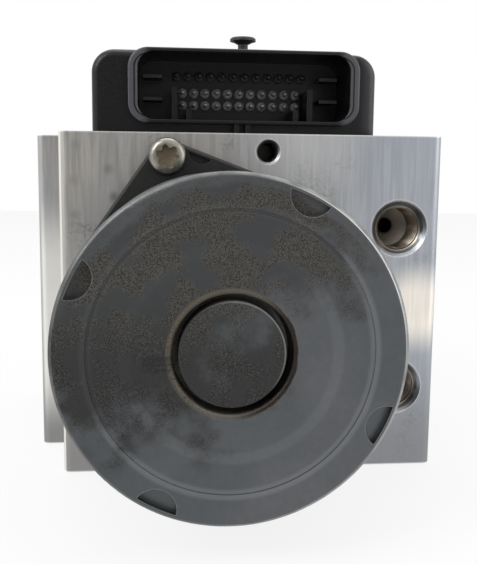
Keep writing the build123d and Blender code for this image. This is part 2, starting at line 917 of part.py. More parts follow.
with BuildPart() as pump_seals:
    for direction in (1, -1):
        seal_plane = Plane(
            origin=(motor_x, pump_y, motor_height + direction * sleeve_end), z_dir=(0, 0, direction)
        )
        with BuildSketch(seal_plane):
            Circle(sleeve_radius)
            Circle(piston_radius + running_gap, mode=Mode.SUBTRACT)
        extrude(amount=pump_seal_width)
export(pump_seals, "pump_seals")

# ---------------------------------------------------------------- accumulators

for side, height in zip(("lower", "upper"), accumulator_heights):
    mouth = Plane(origin=(step_x, accumulator_y, height), x_dir=(0, -1, 0), z_dir=(-1, 0, 0))
    piston_floor = mouth.offset(-(accumulator_depth - seat_gap))
    with BuildPart() as accumulator_piston:
        with BuildSketch(piston_floor):
            Circle(accumulator_radius - running_gap)
        extrude(amount=accumulator_piston_length)
        with BuildSketch(piston_floor.offset(accumulator_piston_wall)):
            Circle(accumulator_radius - accumulator_piston_wall)
        extrude(amount=accumulator_piston_length, mode=Mode.SUBTRACT)
        with BuildSketch(piston_floor.offset(accumulator_piston_length / 2)):
            Circle(accumulator_radius)
            Circle(accumulator_radius - accumulator_seal_height, mode=Mode.SUBTRACT)
        extrude(amount=accumulator_piston_wall, mode=Mode.SUBTRACT)
    export(accumulator_piston, f"accumulator_piston_{side}")

    with BuildPart() as accumulator_seal:
        with BuildSketch(piston_floor.offset(accumulator_piston_length / 2)):
            Circle(accumulator_radius - running_gap)
            Circle(accumulator_radius - accumulator_seal_height, mode=Mode.SUBTRACT)
        extrude(amount=accumulator_piston_wall)
    export(accumulator_seal, f"accumulator_seal_{side}")

    with BuildPart() as accumulator_cap:
        with BuildSketch(mouth.offset(-accumulator_cap_depth)):
            Circle(accumulator_cap_radius)
        extrude(amount=accumulator_cap_depth - open_gap)
        with BuildSketch(mouth.offset(-accumulator_cap_depth)):
            Circle(accumulator_radius - open_gap)
        extrude(amount=-accumulator_cap_lip)
        with BuildSketch(mouth.offset(-open_gap)):
            Circle(accumulator_cap_dish_radius)
        extrude(amount=-accumulator_cap_dish_depth, mode=Mode.SUBTRACT)
    export(accumulator_cap, f"accumulator_cap_{side}")

    spring_start = accumulator_depth - seat_gap - accumulator_piston_wall
    spring_finish = accumulator_cap_depth + accumulator_cap_lip
    accumulator_spring = coil_spring(
        mouth.offset(-spring_start),
        spring_start - spring_finish,
        accumulator_spring_radius,
        accumulator_spring_wire,
        accumulator_spring_turns,
    )
    export(accumulator_spring, f"accumulator_spring_{side}")

# ---------------------------------------------------------------- valves and coils

valve_section = (
    (0, -valve_depth),
    (valve_foot_radius, -valve_depth),
    (valve_foot_radius, valve_foot_length - valve_depth),
    (valve_radius, valve_foot_length - valve_depth),
    (valve_radius, 0),
    (valve_dome_radius, 0),
    (valve_dome_radius, valve_dome_length),
    (0, valve_dome_length),
)


def turned_row(x, corners):
    """The same turned piece at each valve height of one column."""
    with BuildPart() as row:
        for height in valve_heights:
            with BuildSketch(Plane(origin=(x, rear_y, height), x_dir=(1, 0, 0), z_dir=(0, 0, 1))):
                with BuildLine():
                    Polyline(*corners, close=True)
                make_face()
            revolve(axis=Axis((x, rear_y, height), (0, 1, 0)))
    return row


for name, x in zip(("inlet_valves", "outlet_valves"), valve_columns):
    export(turned_row(x, valve_section), name)

coil_bore = valve_dome_radius + seat_gap
coil_low = coil_start + yoke_wall
coil_high = coil_low + coil_length
yoke_radius = coil_radius + seat_gap + yoke_wall
coil_section = ring_points(coil_bore, coil_radius, coil_low, coil_high)
yoke_section = (
    (coil_bore, coil_start),
    (yoke_radius, coil_start),
    (yoke_radius, coil_high + yoke_wall),
    (coil_bore, coil_high + yoke_wall),
    (coil_bore, coil_high),
    (coil_radius + seat_gap, coil_high),
    (coil_radius + seat_gap, coil_low),
    (coil_bore, coil_low),
)
for side, x in zip(("inlet", "outlet"), valve_columns):
    export(turned_row(x, coil_section), f"{side}_coil_windings")
    export(turned_row(x, yoke_section), f"{side}_coil_yokes")

# ---------------------------------------------------------------- control unit

collar_front = tower_y - collar_reach
collar_bottom = tower_bottom + collar_drop
collar_height = tower_top - collar_bottom
collar_x = left_x + tower_inset + collar_left_margin + collar_width / 2
collar_z = (collar_bottom + tower_top) / 2
socket_width = collar_width - 2 * collar_side_wall
socket_height = collar_height - 2 * collar_rim_wall
socket_bottom = collar_bottom + collar_rim_wall
socket_floor = collar_front + socket_depth
socket_back = socket_floor + socket_floor_thickness
tower_middle = (tower_x, (tower_bottom + tower_top) / 2)
tower_span = tower_top - unit_bottom
# The middle chamber's width sets the pitch of the pins
chamber_start = socket_width / 2 - blade_width - 2 * blade_side_gap
key_wall_x = chamber_start - pin_size - key_wall_thickness / 2
pin_pitch = 2 * (key_wall_x - key_wall_thickness / 2) / (max(pin_row_counts) - 1)
blade_x = chamber_start + blade_side_gap + blade_width / 2
latch_x = collar_x + latch_shift
pin_spots = [
    (collar_x + (index - (count - 1) / 2) * pin_pitch, tower_bottom + height)
    for height, count in zip(pin_row_heights, pin_row_counts)
    for index in range(count)
]
blade_spots = [
    (collar_x + side * blade_x, tower_bottom + height) for side in (-1, 1) for height in blade_heights
]


def box_on(plane, centre, width, height, depth, mode=Mode.ADD):
    """A block drawn on a plane and grown towards +Y."""
    with BuildSketch(plane) as outline:
        with Locations(centre):
            Rectangle(width, height)
    extrude(outline.sketch, amount=-depth, mode=mode)


def draw_unit_outline(inset):
    """Control unit and tower seen from the front, shrunk by an inset."""
    radius = unit_corner_radius - inset
    with Locations(unit_middle):
        RectangleRounded(unit_width - 2 * inset, unit_height - 2 * inset, radius)
    with Locations((tower_x, unit_bottom + tower_span / 2)):
        RectangleRounded(tower_width - 2 * inset, tower_span - 2 * inset, radius)


def draw_pins(mode=Mode.ADD):
    """Signal pins' square sections."""
    with Locations(*pin_spots):
        Rectangle(pin_size, pin_size, mode=mode)


def draw_blades(mode=Mode.ADD):
    """Power blades' flat sections."""
    with Locations(*blade_spots):
        Rectangle(blade_width, blade_thickness, mode=mode)


with BuildPart() as control_unit_housing:
    with BuildSketch(front_plane(unit_front)):
        draw_unit_outline(0)
    extrude(amount=-unit_depth)
    # Connector tower reaching forward over the block
    with BuildSketch(front_plane(tower_y)) as tower_outline:
        with Locations(tower_middle):
            Rectangle(tower_width, tower_height)
        fillet(tower_outline.vertices().sort_by(Axis.Y)[-2:], tower_corner_radius)
    extrude(amount=-(unit_front - tower_y))
    tower_edges = control_unit_housing.faces().sort_by(Axis.Y)[0].edges().sort_by(Axis.Z)
    fillet(tower_edges[1:], tower_edge_radius)
    # Rooms: coils in front of the floor, board behind it, pins in the tower
    with BuildSketch(front_plane(unit_front)):
        with Locations(unit_middle):
            RectangleRounded(
                unit_width - 2 * unit_wall,
                unit_height - 2 * unit_wall,
                unit_corner_radius - unit_wall,
            )
    extrude(amount=-unit_floor_setback, mode=Mode.SUBTRACT)
    with BuildSketch(front_plane(unit_floor_rear)):
        draw_unit_outline(unit_wall)
    extrude(amount=-(unit_rear - unit_floor_rear), mode=Mode.SUBTRACT)
    with BuildSketch(front_plane(socket_back)):
        with Locations(tower_middle):
            RectangleRounded(
                tower_width - 2 * unit_wall,
                tower_height - 2 * unit_wall,
                unit_corner_radius - unit_wall,
            )
    extrude(amount=-(unit_floor_rear - socket_back), mode=Mode.SUBTRACT)
    # Collar round the socket, with a rounded rim
    with BuildSketch(front_plane(collar_front)):
        with Locations((collar_x, collar_z)):
            RectangleRounded(collar_width, collar_height, collar_corner_radius)
    extrude(amount=-(collar_reach + tower_edge_radius))
    with BuildSketch(front_plane(collar_front)):
        with Locations((collar_x, collar_z)):
            RectangleRounded(
                socket_width, socket_height, collar_corner_radius - collar_rim_wall
            )
    extrude(amount=-socket_depth, mode=Mode.SUBTRACT)
    rim_face = control_unit_housing.faces().sort_by(Axis.Y)[0]
    fillet(rim_face.inner_wires()[0].edges(), collar_lip_radius)
    rim_face = control_unit_housing.faces().sort_by(Axis.Y)[0]
    fillet(rim_face.outer_wire().edges(), collar_edge_radius)
    # Key walls and ribs inside the socket, latch ribs under the collar
    for side in (-1, 1):
        box_on(
            front_plane(socket_floor - key_wall_reach),
            (collar_x + side * key_wall_x, socket_bottom + key_wall_height / 2),
            key_wall_thickness,
            key_wall_height,
            key_wall_reach,
        )
        box_on(
            front_plane(socket_floor - key_wall_reach),
            (collar_x + side * (key_wall_x - key_rib_inset), socket_bottom + key_rib_height / 2),
            key_wall_thickness,
            key_rib_height,
            key_wall_reach,
        )
        box_on(
            front_plane(collar_front + latch_setback),
            (latch_x + side * latch_spacing / 2, (tower_bottom + collar_bottom) / 2),
            latch_width,
            collar_drop,
            collar_reach,
        )
    # Slots for pins and blades, terminals and screws
    with BuildSketch(front_plane(socket_floor)):
        draw_pins()
        draw_blades()
    extrude(amount=-socket_floor_thickness, mode=Mode.SUBTRACT)
    with BuildSketch(front_plane(unit_front)):
        with Locations(*screw_spots):
            Circle(post_radius)
    extrude(amount=-unit_depth)
    with BuildSketch(front_plane(unit_front)):
        with Locations(*screw_spots):
            Circle(unit_screw_radius + running_gap)
    extrude(amount=-unit_depth, mode=Mode.SUBTRACT)
    with BuildSketch(front_plane(unit_floor_front)):
        with Locations((terminal_x, motor_height)):
            Circle(terminal_passage_radius)
    extrude(amount=-unit_floor_thickness, mode=Mode.SUBTRACT)
    # Hole for the clip stud in the top
    stud_x = left_x + stud_inset
    stud_y = face_y + stud_setback
    drill(Plane.XY.offset(tower_top), [(stud_x, stud_y)], stud_radius, unit_wall)
export(control_unit_housing, "control_unit_housing")

with BuildPart() as unit_gasket:
    with BuildSketch(front_plane(rear_y)):
        with Locations(unit_middle):
            RectangleRounded(
                unit_width - 2 * open_gap, unit_height - 2 * open_gap, unit_corner_radius
            )
            RectangleRounded(
                unit_width - 2 * (open_gap + gasket_width),
                unit_height - 2 * (open_gap + gasket_width),
                unit_corner_radius - gasket_width,
                mode=Mode.SUBTRACT,
            )
    extrude(amount=-gasket_thickness)
export(unit_gasket, "unit_gasket")

cover_rear = unit_rear + unit_cover_thickness
panel_pitch = (unit_width - 2 * panel_inset) / panel_count
with BuildPart() as control_unit_cover:
    with BuildSketch(front_plane(unit_rear)):
        draw_unit_outline(0)
    extrude(amount=-unit_cover_thickness)
    fillet(control_unit_cover.faces().sort_by(Axis.Y)[-1].edges(), cover_edge_radius)
    # Sunk panels that leave stiffening ribs between the four screws
    with BuildSketch(front_plane(cover_rear - panel_depth)):
        with Locations(unit_middle):
            with GridLocations(panel_pitch, 0, panel_count, 1):
                Rectangle(panel_pitch - panel_gap, unit_height - 2 * panel_inset)
    extrude(amount=-panel_depth, mode=Mode.SUBTRACT)
    # Counterbored screw holes
    cover_face = Plane(origin=(0, cover_rear, 0), x_dir=(-1, 0, 0), z_dir=(0, 1, 0))
    with Locations(cover_face):
        with Locations(*[(-x, z) for x, z in screw_spots]):
            CounterBoreHole(
                unit_screw_radius + running_gap,
                unit_screw_head_radius + seat_gap,
                unit_screw_head_height,
                unit_cover_thickness,
            )
export(control_unit_cover, "control_unit_cover")

head_seat = cover_rear - unit_screw_head_height
with BuildPart() as control_unit_screws:
    with BuildSketch(front_plane(rear_y - unit_screw_bite + seat_gap)):
        with Locations(*screw_spots):
            Circle(unit_screw_radius)
    extrude(amount=-(head_seat - rear_y + unit_screw_bite - seat_gap))
    with BuildSketch(front_plane(head_seat)):
        with Locations(*screw_spots):
            Circle(unit_screw_head_radius)
            RegularPolygon(unit_screw_radius, 6, mode=Mode.SUBTRACT)
    extrude(amount=-unit_screw_head_height)
export(control_unit_screws, "control_unit_screws")

with BuildPart() as connector_pins:
    with BuildSketch(front_plane(socket_floor - pin_reach)):
        draw_pins()
    extrude(amount=-(board_rear - socket_floor + pin_reach))
    tips = connector_pins.faces().filter_by(Axis.Y).group_by(Axis.Y)[0]
    chamfer(tips.edges(), pin_tip_chamfer)
export(connector_pins, "connector_pins")

with BuildPart() as power_blades:
    with BuildSketch(front_plane(socket_floor - blade_reach)):
        draw_blades()
    extrude(amount=-(board_rear - socket_floor + blade_reach))
export(power_blades, "power_blades")

with BuildPart() as circuit_board:
    with BuildSketch(front_plane(board_front)):
        draw_unit_outline(unit_wall + open_gap)
        with Locations(*screw_spots):
            Circle(post_radius + open_gap, mode=Mode.SUBTRACT)
        draw_pins(Mode.SUBTRACT)
        draw_blades(Mode.SUBTRACT)
        draw_terminals(Mode.SUBTRACT)
    extrude(amount=-board_thickness)
export(circuit_board, "circuit_board")

with BuildPart() as board_chips:
    for x, z, side in chips:
        box_on(front_plane(board_rear), (x, z), side, side, chip_thickness)
export(board_chips, "board_chips")

with BuildPart() as board_capacitors:
    with BuildSketch(front_plane(board_rear)):
        with Locations(*capacitor_spots):
            Circle(capacitor_radius)
    extrude(amount=-capacitor_height)
export(board_capacitors, "board_capacitors")

with BuildPart() as cover_vent:
    with BuildSketch(front_plane(cover_rear)):
        with Locations((tower_x, (unit_top + tower_top) / 2)):
            Circle(vent_radius)
    extrude(amount=-vent_height)
    chamfer(cover_vent.edges().filter_by(GeomType.CIRCLE).sort_by(Axis.Y)[-1], vent_chamfer)
export(cover_vent, "cover_vent")

with BuildPart() as clip_stud:
    with BuildSketch(Plane(origin=(stud_x, stud_y, tower_top), x_dir=(1, 0, 0), z_dir=(0, -1, 0))):
        with BuildLine():
            Polyline(
                (0, -unit_wall),
                (stud_radius, -unit_wall),
                (stud_radius, stud_height - stud_head_height),
                (stud_head_radius - stud_head_rim, stud_height - stud_head_height / 2),
                (stud_head_radius, stud_height - stud_head_height / 2),
                (stud_head_radius, stud_height - stud_head_rim),
                (stud_head_radius - stud_head_rim, stud_height),
                (0, stud_height),
                close=True,
            )
        make_face()
    revolve(axis=Axis((stud_x, stud_y, tower_top), (0, 0, 1)))
export(clip_stud, "clip_stud")
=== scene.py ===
# %% [markdown]
# # An anti-lock brake module
# The module is an aluminium valve block with a pump motor on its front, a black
# plastic control unit on its back, and a connector that reaches forward over the top.
# Its solids come from the CAD part and stay where they are. This lesson dresses them:
# the finishes, the screws, threads and pin seats, the springs, the light and the camera.

# %% Load the fixed solids
import json
from math import cos, radians, sin, tau

import bmesh
import bpy
from mathutils import Matrix, Vector


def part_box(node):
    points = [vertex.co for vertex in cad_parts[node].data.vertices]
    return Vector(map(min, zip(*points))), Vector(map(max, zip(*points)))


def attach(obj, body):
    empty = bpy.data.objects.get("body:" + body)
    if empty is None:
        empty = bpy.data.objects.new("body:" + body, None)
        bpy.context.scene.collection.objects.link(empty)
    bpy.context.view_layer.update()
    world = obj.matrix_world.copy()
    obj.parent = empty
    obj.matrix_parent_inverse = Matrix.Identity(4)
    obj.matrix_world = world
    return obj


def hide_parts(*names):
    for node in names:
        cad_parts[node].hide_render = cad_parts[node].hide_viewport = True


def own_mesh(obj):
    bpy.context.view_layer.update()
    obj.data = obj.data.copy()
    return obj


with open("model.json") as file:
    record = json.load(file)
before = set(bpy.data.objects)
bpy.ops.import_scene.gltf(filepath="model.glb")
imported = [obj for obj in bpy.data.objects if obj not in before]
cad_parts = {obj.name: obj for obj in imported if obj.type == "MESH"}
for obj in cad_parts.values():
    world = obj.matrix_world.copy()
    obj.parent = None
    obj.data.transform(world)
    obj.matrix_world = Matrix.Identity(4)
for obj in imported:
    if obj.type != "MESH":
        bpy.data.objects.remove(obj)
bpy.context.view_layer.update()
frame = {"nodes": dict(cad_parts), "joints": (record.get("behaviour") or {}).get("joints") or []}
solids = frame["nodes"]
MM = 0.001
MICRON = 0.000001

# %% [markdown]
# ## Places
# Everything added later has to sit on a solid. Its place could be typed in, but it would
# stay behind if the solid moved, so it is read from the solids' own boxes. The motor's
# axis, for example, is the middle of the can. Only the middles of the holes in the
# block's front are written out, because a box can't give them.

# %% Places on the solids
block_low, block_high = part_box("valve_block")
can_low, can_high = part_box("motor_can")
unit_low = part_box("control_unit_housing")[0]
motor_middle = (can_low + can_high) / 2
can_radius = (can_high.x - can_low.x) / 2
can_face_y = can_low.y
block_face_y = block_low.y
# X and Z in millimetres
master_ports = ((36.6, 20.8), (36.6, 61.2))
bracket_hole = (3.3, 79.65)


def on_front(x, z):
    """A place on the block's front face, from X and Z in millimetres."""
    return Vector((x * MM, block_face_y, z * MM))


print("motor axis mm", round(motor_middle.x / MM, 2), round(motor_middle.z / MM, 2))
print("can radius mm", round(can_radius / MM, 2), "end face mm", round(can_face_y / MM, 2))

# %% [markdown]
# ## Camera
# The camera stands left of the motor's axis, level with the top of the block, and looks
# slightly down and to the right. A constraint could aim it at the part, but would set
# its roll by itself, so it is written as a place, three turns and a lens.

# %% Camera
camera_place = Vector((-22.7, -215.8, 73.3)) * MM
camera_yaw, camera_pitch, camera_roll = radians(5.65), radians(7.49), radians(-0.59)
lens_length = 50.46
sensor_side = 36.0
nearest_seen = 10 * MM


def look_from(place, yaw, pitch, roll):
    """Matrix of a camera that faces +Y before its turns."""
    facing = Matrix.Rotation(radians(-90), 4, "X")
    turns = Matrix.Rotation(pitch, 4, "X") @ Matrix.Rotation(yaw, 4, "Y")
    return Matrix.Translation(place) @ (Matrix.Rotation(roll, 4, "Z") @ turns @ facing).transposed()


camera_data = bpy.data.cameras.new("camera")
camera_data.lens = lens_length
camera_data.sensor_width = sensor_side
camera_data.clip_start = nearest_seen
camera = bpy.data.objects.new("camera", camera_data)
camera.matrix_world = look_from(camera_place, camera_yaw, camera_pitch, camera_roll)
bpy.context.scene.collection.objects.link(camera)
bpy.context.scene.camera = camera
bpy.context.scene.view_settings.view_transform = "Standard"
print("camera", [round(value / MM, 1) for value in camera_place], "lens", lens_length)

# %% [markdown]
# ## Shader helpers
# A finish is a net of small nodes. They could be drawn by hand in the shader editor, but
# a net in a script is the same every time. These helpers add one node each, or a short
# chain that comes back often, and give its output. Most outputs are masks from 0 to 1.

# %% Node helpers
def feed(tree, socket, value):
    """Link a socket, or set a plain value."""
    if isinstance(value, bpy.types.NodeSocket):
        tree.links.new(value, socket)
    else:
        socket.default_value = value


def put(tree, kind, inputs=None, **settings):
    """Add a node with its settings and inputs."""
    node = tree.nodes.new(kind)
    for name, value in settings.items():
        setattr(node, name, value)
    for name, value in (inputs or {}).items():
        feed(tree, node.inputs[name], value)
    return node


def calc(tree, operation, first, second=0.0):
    """One sum of two numbers."""
    return put(tree, "ShaderNodeMath", {0: first, 1: second}, operation=operation).outputs[0]


def vector(tree, operation, first, second=(0.0, 0.0, 0.0)):
    """One sum of two vectors; a length, a distance and a dot product come out as a number."""
    node = put(tree, "ShaderNodeVectorMath", {0: first, 1: second}, operation=operation)
    return node.outputs["Value" if operation in ("LENGTH", "DISTANCE", "DOT_PRODUCT") else "Vector"]


print("node helpers", [helper.__name__ for helper in (feed, put, calc, vector)])


# %% Place and noise helpers
def here(tree):
    """The place of the shaded point, in metres."""
    return put(tree, "ShaderNodeTexCoord").outputs["Object"]


def along_axes(tree, place):
    """X, Y and Z of a place."""
    return put(tree, "ShaderNodeSeparateXYZ", {0: place}).outputs


def noise(tree, place, scale, detail, roughness=0.5):
    """Cloudy noise; scale counts its clouds in a metre."""
    inputs = {"Vector": place, "Scale": scale, "Detail": detail, "Roughness": roughness}
    return put(tree, "ShaderNodeTexNoise", inputs).outputs[0]


print("place helpers", [helper.__name__ for helper in (here, along_axes, noise)])


# %% Mask helpers
def rise(tree, value, low, high):
    """0 below low, 1 above high and smooth between."""
    inputs = {"Value": value, "From Min": low, "From Max": high}
    return put(tree, "ShaderNodeMapRange", inputs, interpolation_type="SMOOTHSTEP").outputs[0]


def climb(tree, length, low, high):
    """The same for a length, with both ends in millimetres."""
    return rise(tree, length, low * MM, high * MM)


def times(tree, *factors):
    """The product of masks and numbers."""
    product, *others = factors
    for factor in others:
        product = calc(tree, "MULTIPLY", product, factor)
    return product


def left_over(tree, mask):
    """What a mask leaves free: 1 where the mask is 0."""
    return calc(tree, "SUBTRACT", 1.0, mask)


def spread(tree, mask, span, least):
    """A number that starts from least and gains span where a mask is 1."""
    return calc(tree, "ADD", times(tree, mask, span), least)


print("mask helpers", [helper.__name__ for helper in (rise, climb, times, left_over, spread)])


# %% Colour helpers
def colour(red, green, blue):
    """A colour socket's value from red, green and blue as seen on a screen, 0 to 255."""
    def linear(level):
        level /= 255
        return level / 12.92 if level <= 0.04045 else ((level + 0.055) / 1.055) ** 2.4
    return (linear(red), linear(green), linear(blue), 1.0)


def tint(tree, factor, first, second):
    """Blend two colours."""
    return put(tree, "ShaderNodeMix", {0: factor, 6: first, 7: second}, data_type="RGBA").outputs[2]


def lay(tree, tone, over, *masks):
    """Lay a colour over a tone, as strongly as the product of the masks."""
    return tint(tree, times(tree, *masks), tone, over)


print("middle grey as light", round(colour(128, 128, 128)[0], 3))

# %% [markdown]
# ## Light
# A part on a table is lit by a pale room: light comes from everywhere, a little more
# from above and from the left. An image of a room could give all of it at once, but its
# windows couldn't be moved one by one. So a world gives the even part, and three large
# lamps give the direction. The camera sees the world as white paper, and so do the
# metals, apart from the side behind the camera, where a room is darker. Without that
# darker side flat metal looks like white card.

# %% World
even_light = 0.62
darkest_reflection = 0.2
dark_way = Vector((-0.25, -0.95, -0.12)).normalized()
dark_from, dark_full = 0.72, 0.96
plain_paper = (1, 1, 1, 1)

world = bpy.data.worlds.new("studio")
world.use_nodes = True
bpy.context.scene.world = world
sky = world.node_tree
paper = sky.nodes["Background"]
paper.inputs["Color"].default_value = plain_paper


def seen_straight(tree):
    """1 for camera, glossy and transmission rays, which show the background; 0 for the light it gives."""
    rays = put(tree, "ShaderNodeLightPath").outputs
    seen = calc(tree, "MAXIMUM", rays["Is Camera Ray"], rays["Is Transmission Ray"])
    return calc(tree, "MAXIMUM", seen, rays["Is Glossy Ray"])


level = spread(sky, seen_straight(sky), 1 - even_light, even_light)
way = put(sky, "ShaderNodeTexCoord").outputs["Generated"]
towards = rise(sky, vector(sky, "DOT_PRODUCT", way, dark_way), dark_from, dark_full)
reflected = put(sky, "ShaderNodeLightPath").outputs["Is Glossy Ray"]
dark = times(sky, towards, reflected, 1 - darkest_reflection)
feed(sky, paper.inputs["Strength"], times(sky, level, left_over(sky, dark)))
print("even light", even_light, "darkest reflection", darkest_reflection)


# %% Lamps
def soft_lamp(name, place, side, power):
    """A square lamp that faces the motor."""
    data = bpy.data.lights.new(name, "AREA")
    data.size = side
    data.energy = power
    lamp = bpy.data.objects.new(name, data)
    lamp.location = place
    lamp.rotation_euler = (motor_middle - lamp.location).to_track_quat("-Z", "Y").to_euler()
    bpy.context.scene.collection.objects.link(lamp)
    return lamp


lamps = [
    soft_lamp("left_window", Vector((-0.55, -0.35, 0.55)), 0.45, 2.6),
    soft_lamp("right_wall", Vector((0.5, -0.3, 0.25)), 0.4, 0.7),
    soft_lamp("ceiling", Vector((0.0, 0.15, 0.8)), 0.6, 1.8),
]
print("lamps", [(lamp.name, lamp.data.energy) for lamp in lamps])

# %% [markdown]
# The floor is white paper. A camera would have to overexpose it to lose its horizon, so
# part of what the camera sees of it is plain white and the rest is the lit paper. The
# object's shadow stays, only softer.

# %% Floor
floor_half = 1.5
floor_height = -0.05 * MM
plain_white = 0.84
lit_paper = (0.95, 0.95, 0.95, 1)
lit_roughness = 0.9
floor_mesh = bpy.data.meshes.new("floor")
corners = [(x * floor_half, y * floor_half, floor_height) for x, y in ((-1, -1), (1, -1), (1, 1), (-1, 1))]
floor_mesh.from_pydata(corners, [], [(0, 1, 2, 3)])
floor = bpy.data.objects.new("floor", floor_mesh)
bpy.context.scene.collection.objects.link(floor)
paper_floor = bpy.data.materials.new("paper_floor")
paper_floor.use_nodes = True
sheet = paper_floor.node_tree
lit = sheet.nodes["Principled BSDF"]
lit.inputs["Base Color"].default_value = lit_paper
lit.inputs["Roughness"].default_value = lit_roughness
white = put(sheet, "ShaderNodeEmission", {"Color": plain_paper, "Strength": 1.0})
share = times(sheet, seen_straight(sheet), plain_white)
blended = put(sheet, "ShaderNodeMixShader", {0: share, 1: lit.outputs[0], 2: white.outputs[0]})
feed(sheet, sheet.nodes["Material Output"].inputs["Surface"], blended.outputs[0])
floor_mesh.materials.append(paper_floor)
print("floor side m", 2 * floor_half, "plain white share", plain_white)

# %% [markdown]
# ## Shared effects
# Real surfaces are never one even colour: metal keeps the lines of the tool or the
# die, edges rub bright, and dirt sits in patches of fine specks. Each effect is wanted
# by several finishes. Its nodes could be copied into each of them, but a change would
# then have to be made in all, so each is built once as a node group that puts out a
# mask between 0 and 1. The last two put out a distance instead, for rings and rims to
# follow. Object coordinates are metres here, so sizes are real ones.

# %% Group builder
def effect_group(name, inputs):
    """An empty group with float or vector inputs and one output called Mask."""
    group = bpy.data.node_groups.new(name, "ShaderNodeTree")
    for label, default in inputs.items():
        kind = "NodeSocketVector" if isinstance(default, tuple) else "NodeSocketFloat"
        group.interface.new_socket(label, in_out="INPUT", socket_type=kind).default_value = default
    group.interface.new_socket("Mask", in_out="OUTPUT", socket_type="NodeSocketFloat")
    return group, put(group, "NodeGroupInput").outputs, put(group, "NodeGroupOutput").inputs["Mask"]


def effect(tree, group, **values):
    """Place a group in a material and return its mask."""
    node = put(tree, "ShaderNodeGroup", node_tree=group)
    for name, value in values.items():
        feed(tree, node.inputs[name], value)
    return node.outputs["Mask"]


print("group helpers", effect_group.__name__, effect.__name__)


# %% Grain: noise stretched along the way a surface was drawn, milled or rolled
grain, given, mask = effect_group("grain", {"Stretch": (1000.0, 1000.0, 40.0), "Contrast": 0.3})
lines = noise(grain, vector(grain, "MULTIPLY", here(grain), given["Stretch"]), 1.0, 4.0)
low = calc(grain, "SUBTRACT", 0.5, given["Contrast"])
high = calc(grain, "ADD", 0.5, given["Contrast"])
feed(grain, mask, rise(grain, lines, low, high))
print(grain.name, "nodes", len(grain.nodes))

# %% Edge wear: where the surface turns sharply it has been rubbed
edge_wear, given, mask = effect_group("edge wear", {"Width": 0.0005, "Gain": 3.0})
rounded = put(edge_wear, "ShaderNodeBevel", {"Radius": given["Width"]}, samples=6).outputs[0]
flat = put(edge_wear, "ShaderNodeNewGeometry").outputs["Normal"]
turn = left_over(edge_wear, vector(edge_wear, "DOT_PRODUCT", rounded, flat))
feed(edge_wear, mask, calc(edge_wear, "MINIMUM", times(edge_wear, turn, given["Gain"]), 1.0))
print(edge_wear.name, "nodes", len(edge_wear.nodes))

# %% Grime: large patches filled with fine specks
least_cloud, cover_span, patch_blur = 0.85, 0.6, 0.14
speck_low, speck_high = 0.38, 0.62
grime, given, mask = effect_group("grime", {"Patch": 40.0, "Cover": 0.5, "Speck": 2500.0})
cloud = noise(grime, here(grime), given["Patch"], 5.0)
specks = noise(grime, here(grime), given["Speck"], 3.0)
edge = calc(grime, "SUBTRACT", least_cloud, times(grime, given["Cover"], cover_span))
patch = rise(grime, cloud, edge, calc(grime, "ADD", edge, patch_blur))
feed(grime, mask, times(grime, patch, rise(grime, specks, speck_low, speck_high)))
print(grime.name, "nodes", len(grime.nodes))


# %% Distance from a line along Y: rings and bores are placed by it
def sideways(tree, centre):
    """The way from a centre to the shaded point, without its part along Y."""
    return vector(tree, "MULTIPLY", vector(tree, "SUBTRACT", here(tree), centre), (1.0, 0.0, 1.0))


from_axis, given, mask = effect_group("from axis", {"Centre": (0.0, 0.0, 0.0)})
feed(from_axis, mask, vector(from_axis, "LENGTH", sideways(from_axis, given["Centre"])))
print(from_axis.name, "nodes", len(from_axis.nodes))

# %% Distance from a rounded rectangle in X and Z, less than 0 inside it: rims follow it
rectangle = {"Centre": (0.0, 0.0, 0.0), "Straight": (1.0, 0.0, 1.0), "Corner": 0.005}
from_outline, given, mask = effect_group("from outline", rectangle)
folded = vector(from_outline, "ABSOLUTE", sideways(from_outline, given["Centre"]))
past = vector(from_outline, "SUBTRACT", folded, given["Straight"])
reach = vector(from_outline, "LENGTH", vector(from_outline, "MAXIMUM", past))
feed(from_outline, mask, calc(from_outline, "SUBTRACT", reach, given["Corner"]))
print("effect groups", [group.name for group in bpy.data.node_groups])

# %% [markdown]
# ## Finishes
# A finish starts from one shader with a colour, a roughness and a share of metal. The
# effects then change the colour, the roughness and the height of the surface. Fine
# grain could be moved points, but that takes millions of faces, so it is a bump, and
# its height is a real depth, as deep as it would be on the part.

# %% Finish builder
finishes = {}


def finish(name, base, roughness, metallic=0.0):
    """A new material and its shader."""
    material = bpy.data.materials.new(name)
    material.use_nodes = True
    shader = material.node_tree.nodes["Principled BSDF"]
    shader.inputs["Base Color"].default_value = base
    shader.inputs["Roughness"].default_value = roughness
    shader.inputs["Metallic"].default_value = metallic
    finishes[name] = material
    return material.node_tree, shader.inputs


def relief(tree, sockets, height, depth):
    """Bump a surface by a height mask, depth in micrometres."""
    bump = put(tree, "ShaderNodeBump", {"Height": height, "Distance": depth * MICRON, "Strength": 1.0})
    feed(tree, sockets["Normal"], bump.outputs[0])


def band(tree, length, centre, half, soft):
    """1 within half of a centre, falling to 0 over a soft edge; all three in millimetres."""
    away = calc(tree, "ABSOLUTE", calc(tree, "SUBTRACT", length, centre * MM))
    return left_over(tree, climb(tree, away, half, half + soft))


def spot(tree, centre, radius, soft):
    """1 inside a ball round a place, falling to 0 over a soft edge; both in millimetres."""
    away = vector(tree, "DISTANCE", here(tree), centre)
    return left_over(tree, climb(tree, away, radius, radius + soft))


def ragged(tree, length, cloud, width):
    """A length that wanders with a noise by half of a width, in millimetres, to each side."""
    return calc(tree, "ADD", length, times(tree, calc(tree, "SUBTRACT", cloud, 0.5), width * MM))


print("finish helpers", [helper.__name__ for helper in (finish, relief, band, spot, ragged)])

